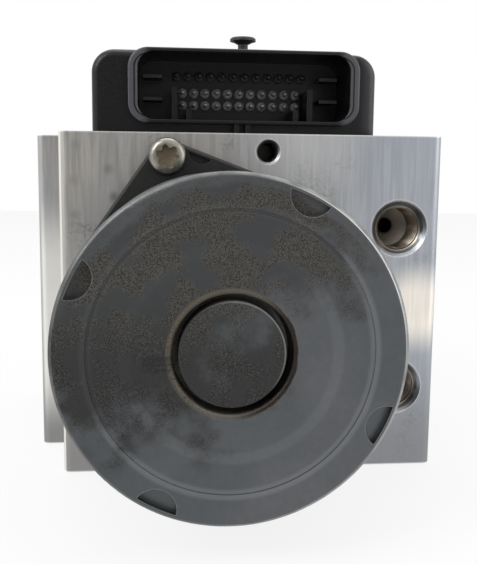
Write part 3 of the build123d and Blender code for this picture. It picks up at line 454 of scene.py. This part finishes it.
# %% [markdown]
# The valve block is cut from an extruded aluminium bar, so fine lines run up its faces.
# Handling has left darker smudges and a few spots of oil. A bright patch beside the
# motor is a painted reflection, a lighter patch at the top is painted light, and painted
# shade darkens the block towards the bottom. All of this could be painted on an image,
# which goes soft up close, so noise and distances draw it instead. Metal hardly has a
# colour of its own, so the change from patch to patch is small, and most of what shows
# is the change of roughness.

# %% Block aluminium: the drawn faces
reflection_spot = on_front(42.0, 41.0)
top_light_spot = on_front(12.0, 83.0)
oil_spots = [on_front(*middle) for middle in (
    (-43.4, 72.4), (-35.1, 75.2), (-43.2, 64.2), (-42.6, 81.0), (-33.8, 68.5))]
block, sockets = finish("block_aluminium", colour(186, 184, 181), 0.4, 1.0)
axes = along_axes(block, here(block))


def past_face(start, full):
    """0 up to one depth behind the block's front and 1 from a second, in millimetres."""
    return rise(block, axes["Y"], block_face_y + start * MM, block_face_y + full * MM)


drawn = effect(block, grain, Stretch=(1500.0, 1500.0, 90.0), Contrast=0.36)
smudge = effect(block, grain, Stretch=(60.0, 60.0, 38.0), Contrast=0.2)
dirt = effect(block, grime, Patch=70.0, Cover=0.5, Speck=1500.0)
warm = tint(block, drawn, colour(170, 167, 162), colour(194, 190, 184))
cool = tint(block, drawn, colour(158, 162, 168), colour(180, 184, 190))
metal = tint(block, climb(block, axes["X"], -20, 45), warm, cool)
metal = lay(block, metal, colour(166, 173, 184), smudge, 0.4)
metal = lay(block, metal, colour(112, 107, 100), dirt, 0.4)
# Painted shade: the block is darkened towards the bottom
metal = lay(block, metal, colour(128, 128, 129), left_over(block, climb(block, axes["Z"], 4, 36)), 0.7)
# Painted reflection: a bright warm patch on the face beside the motor
painted_reflection = times(block, spot(block, reflection_spot, 4, 9), left_over(block, past_face(0.2, 1.5)))
metal = lay(block, metal, colour(250, 243, 232), painted_reflection, spread(block, drawn, 0.25, 0.75))
# Painted light: a lighter patch at the top of the front face
metal = lay(block, metal, colour(212, 211, 210), spot(block, top_light_spot, 3, 16), 0.5)
for oil_spot in oil_spots:
    blurred = times(block, spot(block, oil_spot, 0.1, 1.9), calc(block, "ADD", smudge, 0.3))
    metal = lay(block, metal, colour(92, 88, 82), blurred, 0.5)
print("oil spots", len(oil_spots))

# %% [markdown]
# Brake fluid has stained the ports' bores, and the stain is lightened as well, to stand
# in for light that hardly reaches inside. The bracket hole is darkened as painted shade,
# and no light reaches the drillings at their ends, so they are painted black as painted
# shade. Painted shade darkens the upper left of each sloping mouth, and the rest of the
# mouth is darker too, apart from a spot on the right that stays bright as a painted glint
# of the window. A painted highlight runs along the block's front left corner, and painted
# light brightens the step on its left. The bores could have a material of their own on
# faces picked by hand. A distance from each bore's axis picks its wall and its mouth
# without that, and the solid keeps its one slot.

# %% Block aluminium: bores and edges
# Inside the ports the stain is lightened to stand in for light; inside the bracket hole the wall is darkened
# as painted shade
bore_stain_and_light, hole_shade, unlit = colour(186, 177, 165), colour(44, 42, 40), colour(20, 19, 18)
# X, Z, radius of the bore and of its mouth in millimetres, and the tone inside
front_bores = [(*port, 5.4, 6.7, bore_stain_and_light) for port in master_ports] + [(*bracket_hole, 2.4, 2.8, hole_shade)]
drilling_start = 13.0
slant_rate = 0.6
slant = calc(block, "SUBTRACT", axes["Z"], times(block, axes["X"], slant_rate))
worn = effect(block, edge_wear, Width=0.0007, Gain=6.0)
for x, z, radius, mouth, inside_tone in front_bores:
    reach = effect(block, from_axis, Centre=on_front(x, z))
    bored = left_over(block, climb(block, reach, radius + 0.1, radius + 0.5))
    bored = times(block, bored, past_face(0.6, 0.9))
    metal = lay(block, metal, inside_tone, bored, 0.9)
    metal = lay(block, metal, unlit, bored, past_face(drilling_start, drilling_start + 1.0))
    sloping = left_over(block, climb(block, reach, mouth - 0.1, mouth + 0.1))
    sloping = times(block, sloping, past_face(0.04, 0.1))
    middle = z - slant_rate * x
    upper_left = climb(block, slant, middle - 4.0, middle + 1.0)
    # Painted shade: the upper left of each sloping mouth is darkened
    shaded = times(block, sloping, upper_left, left_over(block, bored))
    metal = lay(block, metal, colour(72, 70, 67), shaded, 0.85)
    # The rest of each mouth is darkened too, except round a spot on its right, which stays bright as a
    # painted glint
    window_side = on_front(x + 0.92 * mouth, z - 0.3 * mouth) + Vector((0.0, 0.5 * MM, 0.0))
    glint = spot(block, window_side, 0.3, 1.2)
    inner = left_over(block, climb(block, reach, mouth - 0.45, mouth - 0.25))
    others = calc(block, "MAXIMUM", glint, calc(block, "MAXIMUM", bored, upper_left))
    darker_mouth = times(block, sloping, inner, left_over(block, others))
    metal = lay(block, metal, colour(84, 80, 75), darker_mouth, 0.9)
    worn = times(block, worn, left_over(block, calc(block, "MAXIMUM", bored, shaded)))
# Painted light: the step left of the block is lightened at mid height
lit_shoulder = times(block, band(block, axes["Z"], 36, 14, 20), band(block, axes["X"], -51.2, 2.8, 1.0))
metal = lay(block, metal, colour(252, 251, 246), lit_shoulder, 0.75)
# Painted highlight: a bright line along the block's rounded front left corner
corner_highlight = times(block, band(block, axes["X"], -46.8, 0.3, 0.3), climb(block, axes["Y"], -20.5, -22.2))
metal = lay(block, metal, colour(250, 247, 238), corner_highlight, 0.8)
metal = lay(block, metal, colour(252, 250, 244), worn)
feed(block, sockets["Base Color"], metal)
feed(block, sockets["Roughness"], spread(block, drawn, 0.12, 0.34))
relief(block, sockets, drawn, 8)
print("stained bores", len(front_bores))

# %% [markdown]
# The motor can is drawn from zinc coated steel that has gone dull and blue-grey. A film
# of road dirt darkens its upper left half and its boss, with fine dark and pale specks
# in it. Even rings alone would look like new metal, so the radius from the motor's axis
# places only the rings. A direction across the face places the dirt, and noise makes
# the borders of both wander.

# %% Can steel: metal, film and specks
dirty_side = Vector((-0.5, 0.0, 0.86))
can, sockets = finish("can_steel", colour(90, 92, 94), 0.46, 0.85)
radius = effect(can, from_axis, Centre=motor_middle)
offset = vector(can, "SUBTRACT", here(can), motor_middle)
across = along_axes(can, offset)
cloud = noise(can, here(can), 60.0, 7.0, 0.6)
blots = noise(can, here(can), 150.0, 5.0)
specks = noise(can, here(can), 4300.0, 2.0)
side = ragged(can, vector(can, "DOT_PRODUCT", offset, dirty_side), cloud, 90)
outer = times(can, climb(can, radius, 26.2, 27.6), 6 * MM)
film = climb(can, calc(can, "SUBTRACT", side, outer), -10, 9)
clean_ring = climb(can, ragged(can, radius, cloud, 8), 30.2, 31.8)
clean_ring = times(can, clean_ring, climb(can, across["Z"], 4, 18), 0.75)
film = times(can, film, left_over(can, clean_ring))
on_boss = times(can, left_over(can, climb(can, radius, 10.0, 10.6)), rise(can, cloud, 0.22, 0.45))
film = calc(can, "MAXIMUM", film, on_boss)
upper = climb(can, across["Z"], -4, 16)
blotted = times(can, film, rise(can, blots, 0.40, 0.54))
wide = effect(can, grain, Stretch=(45.0, 45.0, 45.0), Contrast=0.24)
turned = effect(can, grain, Stretch=(900.0, 900.0, 900.0), Contrast=0.35)
steel = tint(can, wide, colour(84, 88, 90), colour(98, 100, 103))
steel = lay(can, steel, colour(74, 75, 77), turned, 0.25)
steel = lay(can, steel, tint(can, upper, colour(38, 37, 36), colour(54, 56, 57)), film, 0.9)
steel = lay(can, steel, colour(78, 74, 67), blotted, upper, 0.55)
steel = lay(can, steel, colour(22, 21, 19), blotted, rise(can, specks, 0.5, 0.62), 0.9)
steel = lay(can, steel, colour(108, 105, 98), blotted, left_over(can, rise(can, specks, 0.30, 0.44)), 0.4)
print("can noises", sum(node.bl_idname == "ShaderNodeTexNoise" for node in can.nodes))

# %% [markdown]
# A lighter, speckled band on the lip of the groove round the boss is old dust and a
# painted highlight of the rounded lip. To the right of the groove the face is darker
# and brown, and the boss has a painted highlight on its edge there. Two press rings
# carry painted highlights, faint where the film lies, and something has smeared the
# face left of the boss. All of these are finer than the mesh, so they are bands of a
# distance in the material and not geometry.

# %% Can steel: rings, rust and smear
groove_lip = 11.5
boss_edge = 9.88
# Radius and half width in millimetres, and strength
press_ring_highlights = ((27.0, 0.5, 0.3), (19.9, 0.6, 0.12))
clear = left_over(can, times(can, film, 0.85))
# Painted highlights of the two press rings, faint where the film lies
for ring_radius, half, strength in press_ring_highlights:
    steel = lay(can, steel, colour(140, 143, 146), band(can, radius, ring_radius, half, 0.9), strength, clear)
# Old dust and a painted highlight of the rounded lip: a lighter speckled band on the groove's lip
dust_and_sheen = times(can, band(can, radius, groove_lip, 0.5, 0.7), rise(can, specks, 0.35, 0.6))
steel = lay(can, steel, colour(112, 102, 86), dust_and_sheen, 0.7)
# A speckled dark brown band right of the groove
to_right = calc(can, "SUBTRACT", across["X"], times(can, across["Z"], 0.2))
right_groove_band = band(can, ragged(can, radius, blots, 1.6), groove_lip + 0.1, 0.5, 0.4)
dark_brown = tint(can, rise(can, specks, 0.4, 0.6), colour(22, 19, 18), colour(46, 39, 35))
steel = lay(can, steel, dark_brown, right_groove_band, climb(can, to_right, 1, 9), 0.92)
# Painted highlight: a light line on the boss's edge at the upper right
to_upper_right = calc(can, "ADD", across["X"], times(can, across["Z"], 0.8))
boss_highlight = times(can, band(can, radius, boss_edge, 0.12, 0.12), climb(can, to_upper_right, 0, 11))
steel = lay(can, steel, colour(132, 131, 126), boss_highlight, 0.6)
scuffs = effect(can, grain, Stretch=(90.0, 90.0, 2600.0), Contrast=0.25)
smear = times(can, band(can, across["Z"], -1.6, 1.0, 0.8), band(can, across["X"], -13.9, 2.4, 0.8))
steel = lay(can, steel, colour(30, 30, 34), smear, spread(can, scuffs, 0.6, 0.3))
print("press rings", len(press_ring_highlights), "groove lip mm", groove_lip)

# %% [markdown]
# The edges of the crimp pockets are rubbed down to lighter steel. The can's rim carries
# a painted highlight, strongest at the right, and a thin painted highlight line runs
# where the face starts to turn into the wall, at the right and top. The edge wear group
# could rub both, but it rubs all edges alike. It does the pockets, and the rim follows
# the radius.

# %% Can steel: rim
pockets_radius = 30.8
rim_radius = can_radius / MM
depth = along_axes(can, here(can))["Y"]
at_front = left_over(can, rise(can, depth, can_face_y + 0.5 * MM, can_face_y + 1.1 * MM))
nick = times(can, effect(can, edge_wear, Width=0.0003, Gain=2.5), band(can, radius, pockets_radius, 2.0, 0.4))
steel = lay(can, steel, colour(168, 166, 160), nick, 0.75)
rim_marks = effect(can, grain, Stretch=(260.0, 200.0, 260.0), Contrast=0.3)
# Painted highlight on the can's rim, strongest at the right
rim_sheen = times(can, climb(can, radius, rim_radius - 0.80, rim_radius - 0.60), at_front)
rim_sheen = times(can, rim_sheen, spread(can, rim_marks, 0.65, 0.2))
rim_sheen = times(can, rim_sheen, spread(can, climb(can, across["X"], -10, 20), 0.72, 0.28))
steel = lay(can, steel, colour(178, 178, 176), rim_sheen)
# Painted highlight: a thin bright line where the face turns into the wall, at the right and top
rim_highlight_line = times(can, band(can, radius, rim_radius - 0.74, 0.05, 0.09), climb(can, across["X"], 4, 18))
rim_highlight_line = times(can, rim_highlight_line, spread(can, climb(can, across["Z"], -12, 16), 0.6, 0.15), at_front)
steel = lay(can, steel, colour(208, 208, 206), rim_highlight_line)
feed(can, sockets["Base Color"], steel)
feed(can, sockets["Roughness"], spread(can, film, 0.2, 0.4))
feed(can, sockets["Metallic"], spread(can, film, -0.4, 0.85))
relief(can, sockets, specks, 20)
print("can rim mm", round(rim_radius, 2))


# %% [markdown]
# The flange under the motor, the screws and the plastic are simpler: one colour, a fine
# texture and rubbed edges. Each could be a cell like the ones above, with mostly the
# same lines. A function makes such a finish instead, so each needs only its own
# colours and the size of its grain. Three of them have marks of their own besides:
# painted highlights and painted light on the collar, with its dark seal groove, and
# painted shade on the top row of pins.

# %% Plain finish
worn_width = 0.0004
dusty = colour(120, 115, 106)


def plain_finish(name, base, worn_tone, roughness, metallic, texture, depth,
                 wear_gain=2.0, dust_and_sheen=0.0, marks=None):
    """One colour with fine grain, worn edges, a little grime and marks of its own."""
    tree, sockets = finish(name, base, roughness, metallic)
    fine = effect(tree, grain, Stretch=texture, Contrast=0.25)
    darker = tuple(value * 0.82 for value in base[:3]) + (1.0,)
    tone = tint(tree, fine, darker, base)
    tone = lay(tree, tone, worn_tone, effect(tree, edge_wear, Width=worn_width, Gain=wear_gain))
    if dust_and_sheen:
        tone = lay(tree, tone, dusty, effect(tree, grime, Patch=60.0, Cover=dust_and_sheen, Speck=1800.0), 0.5)
    if marks:
        tone = marks(tree, tone)
    feed(tree, sockets["Base Color"], tone)
    feed(tree, sockets["Roughness"], spread(tree, fine, 0.12, roughness - 0.06))
    relief(tree, sockets, fine, depth)


print("width of worn edges mm", round(worn_width / MM, 2))

# %% Marks of the connector's collar and pins
collar_middle = Vector((-1.35, 0.0, 96.1)) * MM
collar_straight = Vector((24.45, 0.0, 4.3)) * MM
collar_corner = 5.0 * MM


def collar_marks(tree, tone):
    """The collar's side rims carry a painted highlight, with a dark seal groove, and the plate right of the
    collar is lightened as painted light.
    """
    axes = along_axes(tree, here(tree))
    outline = effect(tree, from_outline, Centre=collar_middle, Straight=collar_straight, Corner=collar_corner)
    at_rim = left_over(tree, rise(tree, axes["Y"], unit_low.y + 0.4 * MM, unit_low.y + 1.2 * MM))
    aside = calc(tree, "ABSOLUTE", calc(tree, "SUBTRACT", axes["X"], collar_middle.x))
    # Painted highlight: the collar's rounded side rims are lightened
    tone = lay(tree, tone, colour(82, 81, 86), at_rim, climb(tree, aside, 23.5, 26.5), 0.85)
    tone = lay(tree, tone, colour(8, 8, 9), at_rim, band(tree, outline, -1.6, 0.1, 0.2))
    # Painted light: the plate right of the collar is lightened
    lit_shoulder = times(tree, climb(tree, axes["X"], 28.5, 32), climb(tree, axes["Z"], 84, 87))
    return lay(tree, tone, colour(64, 64, 67), lit_shoulder, 0.9)


def shaded_top_row(tree, tone):
    """The top row of pins and domes sits under the collar's top and is darkened as painted shade."""
    return lay(tree, tone, colour(62, 62, 63), climb(tree, along_axes(tree, here(tree))["Z"], 97.2, 98.8))


collar_sides = (collar_straight.x, collar_straight.z)
print("collar mm", [round(2 * (side + collar_corner) / MM, 1) for side in collar_sides])

# %% Plain finishes, one in each row
# Colour, colour of worn edges, roughness, metal, grain along X, Y and Z, its depth in
# micrometres and, where they differ from 2 and 0, the wear and the dust
plain = {
    "flange_black": ((38, 38, 37), (78, 77, 75), 0.5, 0.35, (1500, 1500, 1500), 20, 2.0, 0.4),
    "screw_zinc": ((156, 153, 144), (214, 211, 202), 0.32, 1.0, (1200, 1200, 1200), 12, 1.5, 0.35),
    "recess_dirt": ((136, 124, 102), (158, 146, 122), 0.8, 0.0, (2600, 2600, 2600), 40),
    "unit_plastic": ((12, 12, 13), (46, 45, 48), 0.34, 0.0, (2200, 2200, 2200), 10, 2.5),
    "pin_seat": ((150, 149, 149), (160, 160, 160), 0.5, 0.0, (1500, 1500, 1500), 10, 0.5),
    "blade_tin": ((46, 46, 46), (62, 62, 62), 0.5, 0.2, (900, 80, 900), 8),
    # bracket_thread is darkened as painted shade, so the hole reads black
    "bracket_thread": ((40, 39, 37), (70, 68, 64), 0.6, 0.6, (500, 500, 500), 8),
    "clip_plastic": ((46, 46, 48), (84, 84, 86), 0.5, 0.0, (1800, 1800, 1800), 10, 2.0, 0.3),
    "pin_tin": ((150, 149, 147), (170, 169, 166), 0.45, 0.6, (900, 80, 900), 8, 0.5),
    # port_thread is lightened to stand in for light that hardly reaches inside the ports
    "port_thread": ((172, 162, 148), (214, 208, 196), 0.4, 1.0, (500, 500, 500), 8, 3.0, 0.5),
    "brass_strip": ((190, 158, 88), (224, 198, 132), 0.36, 1.0, (120, 14, 900), 8),
    "ferrite_magnet": ((48, 47, 48), (74, 73, 72), 0.7, 0.0, (1400, 1400, 1400), 40),
    "bearing_steel": ((178, 179, 181), (224, 225, 226), 0.2, 1.0, (60, 2600, 60), 4),
    "lamination_iron": ((120, 119, 118), (168, 167, 164), 0.45, 1.0, (8, 2000, 8), 40),
    "copper_wire": ((176, 98, 58), (210, 136, 92), 0.32, 1.0, (1700, 25, 1700), 80),
    "coil_wire": ((168, 88, 50), (206, 128, 84), 0.32, 1.0, (40, 2400, 40), 80),
    "brush_carbon": ((40, 40, 42), (70, 70, 72), 0.6, 0.1, (1300, 1300, 500), 30),
    "spring_wire": ((150, 150, 150), (196, 196, 196), 0.3, 1.0, (300, 300, 300), 6),
    "seal_rubber": ((26, 26, 26), (44, 44, 44), 0.72, 0.0, (1600, 1600, 1600), 30),
    "turned_steel": ((160, 160, 162), (206, 206, 206), 0.3, 1.0, (40, 2200, 40), 6),
    "cap_aluminium": ((190, 190, 190), (234, 234, 232), 0.36, 1.0, (40, 1500, 1500), 8, 2.0, 0.3),
    "board_coating": ((22, 82, 48), (60, 120, 84), 0.35, 0.0, (260, 260, 260), 20),
    "chip_resin": ((30, 30, 31), (58, 58, 60), 0.6, 0.0, (2400, 2400, 2400), 20),
}
own_marks = {"unit_plastic": collar_marks, "pin_seat": shaded_top_row, "pin_tin": shaded_top_row}
for name, (base, worn_tone, *surface) in plain.items():
    plain_finish(name, colour(*base), colour(*worn_tone), *surface, marks=own_marks.get(name))
# Black plastic mirrors little of the room
finishes["unit_plastic"].node_tree.nodes["Principled BSDF"].inputs["Specular IOR Level"].default_value = 0.35
print("finishes", len(finishes))

# %% [markdown]
# ## Which solid gets which finish
# The solids keep their meshes. Only the material in their one slot changes. That could
# be a line for each solid, but pieces made of the same stuff should stay alike, so it
# is a table from finish to solids and a loop.

# %% Dress the solids
dressed = {
    "block_aluminium": ["valve_block"],
    "can_steel": ["motor_can"],
    "flange_black": ["motor_flange"],
    "screw_zinc": ["motor_flange_screws", "control_unit_screws"],
    "unit_plastic": ["control_unit_housing", "control_unit_cover", "brush_holder"],
    "clip_plastic": ["clip_stud", "cover_vent"],
    "pin_tin": ["connector_pins"],
    "blade_tin": ["power_blades"],
    "brass_strip": ["motor_terminals"],
    "ferrite_magnet": ["motor_magnet_left", "motor_magnet_right"],
    "lamination_iron": ["armature_core"],
    "copper_wire": ["armature_winding", "commutator"],
    "coil_wire": ["inlet_coil_windings", "outlet_coil_windings"],
    "brush_carbon": ["brush_upper", "brush_lower"],
    "board_coating": ["circuit_board"],
    "chip_resin": ["board_chips", "board_capacitors"],
    "bearing_steel": ["rotor_shaft", "eccentric_needles", "eccentric_ring", "passage_balls"],
    "spring_wire": [],
    "seal_rubber": ["terminal_seal", "pump_seals", "unit_gasket"],
    "turned_steel": ["inlet_valves", "outlet_valves", "inlet_coil_yokes", "outlet_coil_yokes"],
    "cap_aluminium": [],
}
for bearing in ("end_bearing", "flange_bearing"):
    dressed["bearing_steel"] += [f"{bearing}_{part}" for part in ("outer_ring", "inner_ring", "balls")]
for side in ("upper", "lower"):
    dressed["spring_wire"] += [f"{owner}_spring_{side}" for owner in ("brush", "pump", "accumulator")]
    dressed["seal_rubber"].append(f"accumulator_seal_{side}")
    dressed["turned_steel"] += [f"pump_sleeve_{side}", f"pump_piston_{side}"]
    dressed["cap_aluminium"] += [f"pump_plug_{side}", f"accumulator_cap_{side}", f"accumulator_piston_{side}"]
for finish_name, names in dressed.items():
    for name in names:
        solids[name].data.materials.clear()
        solids[name].data.materials.append(finishes[finish_name])
bare = sorted(set(solids) - {name for names in dressed.values() for name in names})
print("dressed", sum(len(names) for names in dressed.values()), "bare", bare)

# %% [markdown]
# ## Small detail
# Threads, screw recesses and rounded pin tips are too fine for the solids, so they are
# made here. Where a plain solid stands in for one of them, the new piece takes its
# place and rides on the same body. First come three helpers. One finds the separate
# pieces inside a solid, so that new pieces sit exactly where the plain ones are. One
# wraps rows of points round an axis into a skin, which is how a lathe or a press shapes
# metal. The last turns a skin into a piece.

# %% Find the separate pieces of a solid
def loose_boxes(solid):
    """Low and high corner of each separate piece of a mesh, from left to right."""
    shape = bmesh.new()
    shape.from_mesh(solid.data)
    bmesh.ops.remove_doubles(shape, verts=shape.verts, dist=MICRON)
    waiting = set(shape.verts)
    boxes = []
    while waiting:
        front = [waiting.pop()]
        points = []
        while front:
            vertex = front.pop()
            points.append(vertex.co.copy())
            near = {edge.other_vert(vertex) for edge in vertex.link_edges} & waiting
            waiting -= near
            front.extend(near)
        low = Vector([min(point[axis] for point in points) for axis in range(3)])
        high = Vector([max(point[axis] for point in points) for axis in range(3)])
        boxes.append((low, high))
    shape.free()
    return sorted(boxes, key=lambda box: tuple(box[0]))


screw_boxes = loose_boxes(solids["motor_flange_screws"])
unit_screw_boxes = loose_boxes(solids["control_unit_screws"])
pin_boxes = loose_boxes(solids["connector_pins"])
print("screws", len(screw_boxes), "unit screws", len(unit_screw_boxes), "pins", len(pin_boxes))


# %% Wrap rows of points into a skin
def empty_skin():
    """Points, faces and the material slot of each face."""
    return [], [], []


def wrap(skin, rows, place, axis, steps):
    """Join rows round an axis; a row is (distance along the axis, reach at each step, slot)."""
    points, faces, slots = skin
    side = axis.orthogonal().normalized()
    other = axis.cross(side)
    start = len(points)
    for along, reaches, _ in rows:
        for step, reach in enumerate(reaches):
            angle = tau * step / steps
            reach *= MM
            points.append(place + axis * along * MM + side * reach * cos(angle) + other * reach * sin(angle))
    for row, (_, _, slot) in enumerate(rows[1:]):
        near = start + row * steps
        far = near + steps
        for step in range(steps):
            following = (step + 1) % steps
            faces.append((near + step, near + following, far + following, far + step))
            slots.append(slot)


print("skin helpers", empty_skin.__name__, wrap.__name__)


# %% Turn a skin into a piece
def dress(name, skin, materials, stand_ins=(), flip=True, smooth=40):
    """Turn a skin into a piece that rides on the body of the block; flip turns its faces outwards."""
    points, faces, slots = skin
    mesh = bpy.data.meshes.new(name)
    mesh.from_pydata(points, [], faces)
    piece = bpy.data.objects.new(name, mesh)
    bpy.context.scene.collection.objects.link(piece)
    for material in materials:
        mesh.materials.append(finishes[material])
    mesh.polygons.foreach_set("material_index", slots)
    mesh.polygons.foreach_set("use_smooth", [True] * len(faces))
    mesh.set_sharp_from_angle(angle=radians(smooth))
    if flip:
        mesh.flip_normals()
    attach(piece, "root")
    if stand_ins:
        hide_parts(*stand_ins)
    return piece


print("piece helper", dress.__name__)

# %% [markdown]
# Each flange screw has a low domed head with a six-lobe recess, as pressed by a punch.
# Rust-brown dirt stays in the recess because nothing wipes it there, so those faces
# take a second material. The control unit's screws are the same kind, but smaller. The
# recess could be cut with a boolean, which leaves thin, uneven faces. A stack of rings
# gives even ones, and a ring with lobes is a circle whose radius rises and falls six
# times in one turn.

# %% Rings of a screw
head_metal, recess = 0, 1
lobes, lobe_flatness = 6, 0.14


def stack(skin, rings, place, axis, steps=72):
    """Join rings of (radius, lobe, distance along the axis, slot) round an axis."""
    rows = []
    for radius, lobe, along, slot in rings:
        angles = [tau * step / steps for step in range(steps)]
        waves = [cos(lobes * angle) - lobe_flatness * cos(2 * lobes * angle) for angle in angles]
        reaches = [radius + lobe * wave for wave in waves]
        rows.append((along, reaches, slot))
    wrap(skin, rows, place, axis, steps)


def screw_rings(head, height, length, shank, grip):
    """Rings from the recess floor over the head and down the shank; grip is the recess radius."""
    lobe = grip * 0.15
    wall = grip - lobe
    recess_rings = [
        (0.02, 0.0, -height * 0.74), (wall * 0.55, 0.0, -height * 0.68),
        (wall * 0.72, lobe * 0.2, -height * 0.6), (wall * 0.96, lobe, -height * 0.48),
        (wall * 0.97, lobe, -0.25), (wall, lobe, -0.12),
    ]
    head_rings = [
        (wall + 0.12, lobe, 0.0), (wall + 0.4, lobe * 0.5, 0.0),
        (head * 0.76, 0.0, -height * 0.03), (head * 0.87, 0.0, -height * 0.13),
        (head * 0.94, 0.0, -height * 0.27), (head * 0.985, 0.0, -height * 0.45),
        (head, 0.0, -height * 0.6), (head, 0.0, -height * 0.96), (head - 0.1, 0.0, -height),
        (shank, 0.0, -height), (shank, 0.0, 0.6 - length), (shank - 0.5, 0.0, -length),
        (0.02, 0.0, -length),
    ]
    return [(*ring, recess) for ring in recess_rings] + [(*ring, head_metal) for ring in head_rings]


print("lobes in a recess", lobes)

# %% Screws
front, rear, up = Vector((0, -1, 0)), Vector((0, 1, 0)), Vector((0, 0, 1))
# New piece: boxes, the way its heads face, head height, shank and recess radius, plain solid
screws = {
    "flange_screws": (screw_boxes, front, 2.8, 2.4, 2.75, "motor_flange_screws"),
    "unit_screws": (unit_screw_boxes, rear, 2.2, 2.0, 1.95, "control_unit_screws"),
}
for name, (boxes, axis, height, shank, grip, plain_screws) in screws.items():
    skin = empty_skin()
    for low, high in boxes:
        top = Vector(((low.x + high.x) / 2, low.y if axis == front else high.y, (low.z + high.z) / 2))
        head, length = (high.x - low.x) / 2 / MM, (high.y - low.y) / MM
        stack(skin, screw_rings(head, height, length, shank, grip), top, axis)
    dress(name, skin, ["screw_zinc", "recess_dirt"], [plain_screws])
    print(name, len(skin[1]), "faces")

# %% [markdown]
# A tube nut screws into each port, so the bores carry a fine metric thread. A thread is
# one ridge that climbs by its pitch in each turn. Blender's Screw modifier could sweep
# it, but its turns would then have to be merged. The skin below is one tube whose
# radius rises and falls along the axis, and the rise starts later as the angle grows,
# which is what makes it a helix and not a stack of rings.

# %% Threads
bore_gap = 0.03
ridge_share = 1.25
depth_share = 0.4


def thread(skin, place, axis, radius, length, pitch, lead_in, steps=64, rows=8):
    """A helical ridge inside a bore; place is the bore's mouth and axis points inwards."""
    coils = []
    for row in range(int(length / pitch * rows) + 1):
        reaches = []
        for step in range(steps):
            turn = (row / rows - step / steps) % 1.0
            ridge = max(0.0, 1.0 - abs(2 * turn - 1) * ridge_share)
            reaches.append(radius - bore_gap - depth_share * pitch * ridge)
        coils.append((lead_in + row * pitch / rows, reaches, 0))
    wrap(skin, coils, place, axis, steps)


# The ports on the right side and the holes underneath, in millimetres
wheel_ports = [Vector((block_high.x, 9 * MM, z * MM)) for z in (12, 32, 52, 72)]
foot_holes = [Vector((x * MM, -11 * MM, 0.0)) for x in (-32, 32)]
# Mouths, way in, then radius, length, pitch and lead-in in millimetres
bores = {
    "master_threads": ([on_front(*port) for port in master_ports], rear, 5.46, 9.4, 1.0, 1.9),
    "wheel_threads": (wheel_ports, Vector((-1, 0, 0)), 4.46, 8.2, 1.0, 1.6),
    "bracket_thread": ([on_front(*bracket_hole)], rear, 2.5, 9.0, 0.8, 0.7),
    "foot_threads": (foot_holes, up, 2.5, 9.4, 0.8, 0.4),
}
for name, (places, axis, radius, length, pitch, lead_in) in bores.items():
    skin = empty_skin()
    for place in places:
        thread(skin, place, axis, radius, length, pitch, lead_in)
    dress(name, skin, ["bracket_thread" if name == "bracket_thread" else "port_thread"], smooth=70)
    print(name, len(skin[1]), "faces")

# %% [markdown]
# The connector's pins end in a rounded point, so that the plug slides on without
# catching. Each stands in a small moulded dome, where the plastic was pressed round it,
# and the domes are what catches the light in the dark socket. The solids' square pins
# could be bevelled, but little more than the points shows, so each pin is a slim turned
# skin of the same width.

# %% Pins and their domes
socket_floor_y = 5.0 * MM
# Radius and height in millimetres
dome_profile = ((1.32, 0.0), (1.30, 0.5), (1.18, 0.95), (0.95, 1.3), (0.62, 1.55), (0.02, 1.62))
dome_rings = [(radius, 0.0, height, 0) for radius, height in dome_profile]
pins, domes = empty_skin(), empty_skin()
for low, high in pin_boxes:
    middle = Vector(((low.x + high.x) / 2, low.y, (low.z + high.z) / 2))
    half = (high.x - low.x) / 2 / MM
    length = (high.y - low.y) / MM
    tip = ((0.02, 0.0), (half * 0.45, -0.05), (half * 0.8, -0.25), (half, -0.6))
    tail = ((half, 0.1 - length), (0.02, -length))
    stack(pins, [(radius, 0.0, along, 0) for radius, along in tip + tail], middle, front, steps=16)
    stack(domes, dome_rings, Vector((middle.x, socket_floor_y, middle.z)), front, steps=24)
dress("pins", pins, ["pin_tin"], ["connector_pins"])
dress("pin_domes", domes, ["pin_seat"], flip=False)
print("pins and domes", len(pins[1]), len(domes[1]))

# %% [markdown]
# ## Springs
# A spring is pressed between a fixed seat and the piece that moves. Its seat end stays
# and its other end follows. It could be wound anew for each length. Here each spring is
# copied, with a mesh of its own, onto the root body, and its plain solid is hidden; the
# copy does not shorten, and only the travel of its joint is printed. The wire of a real
# spring keeps its thickness.

# %% Springs
spring_movers = {"pump_spring": "pump_piston", "brush_spring": "brush", "accumulator_spring": "accumulator"}
spring_joints = {f"{spring}_{side}": f"{mover}_{side}_slide"
                 for spring, mover in spring_movers.items() for side in ("upper", "lower")}
joints = {joint["name"]: joint for joint in frame["joints"]}
for name, joint_name in spring_joints.items():
    joint = joints[joint_name]
    way = Vector(joint["axis"])
    low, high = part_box(name)
    length = abs((high - low).dot(way))
    spring = bpy.data.objects.new(name.replace("spring", "coil"), solids[name].data.copy())
    bpy.context.scene.collection.objects.link(spring)
    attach(spring, "root")
    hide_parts(name)
    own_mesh(spring)
    print(spring.name, "length mm", round(length / MM, 2), "shortens by", joint["range_m"][1] / MM)
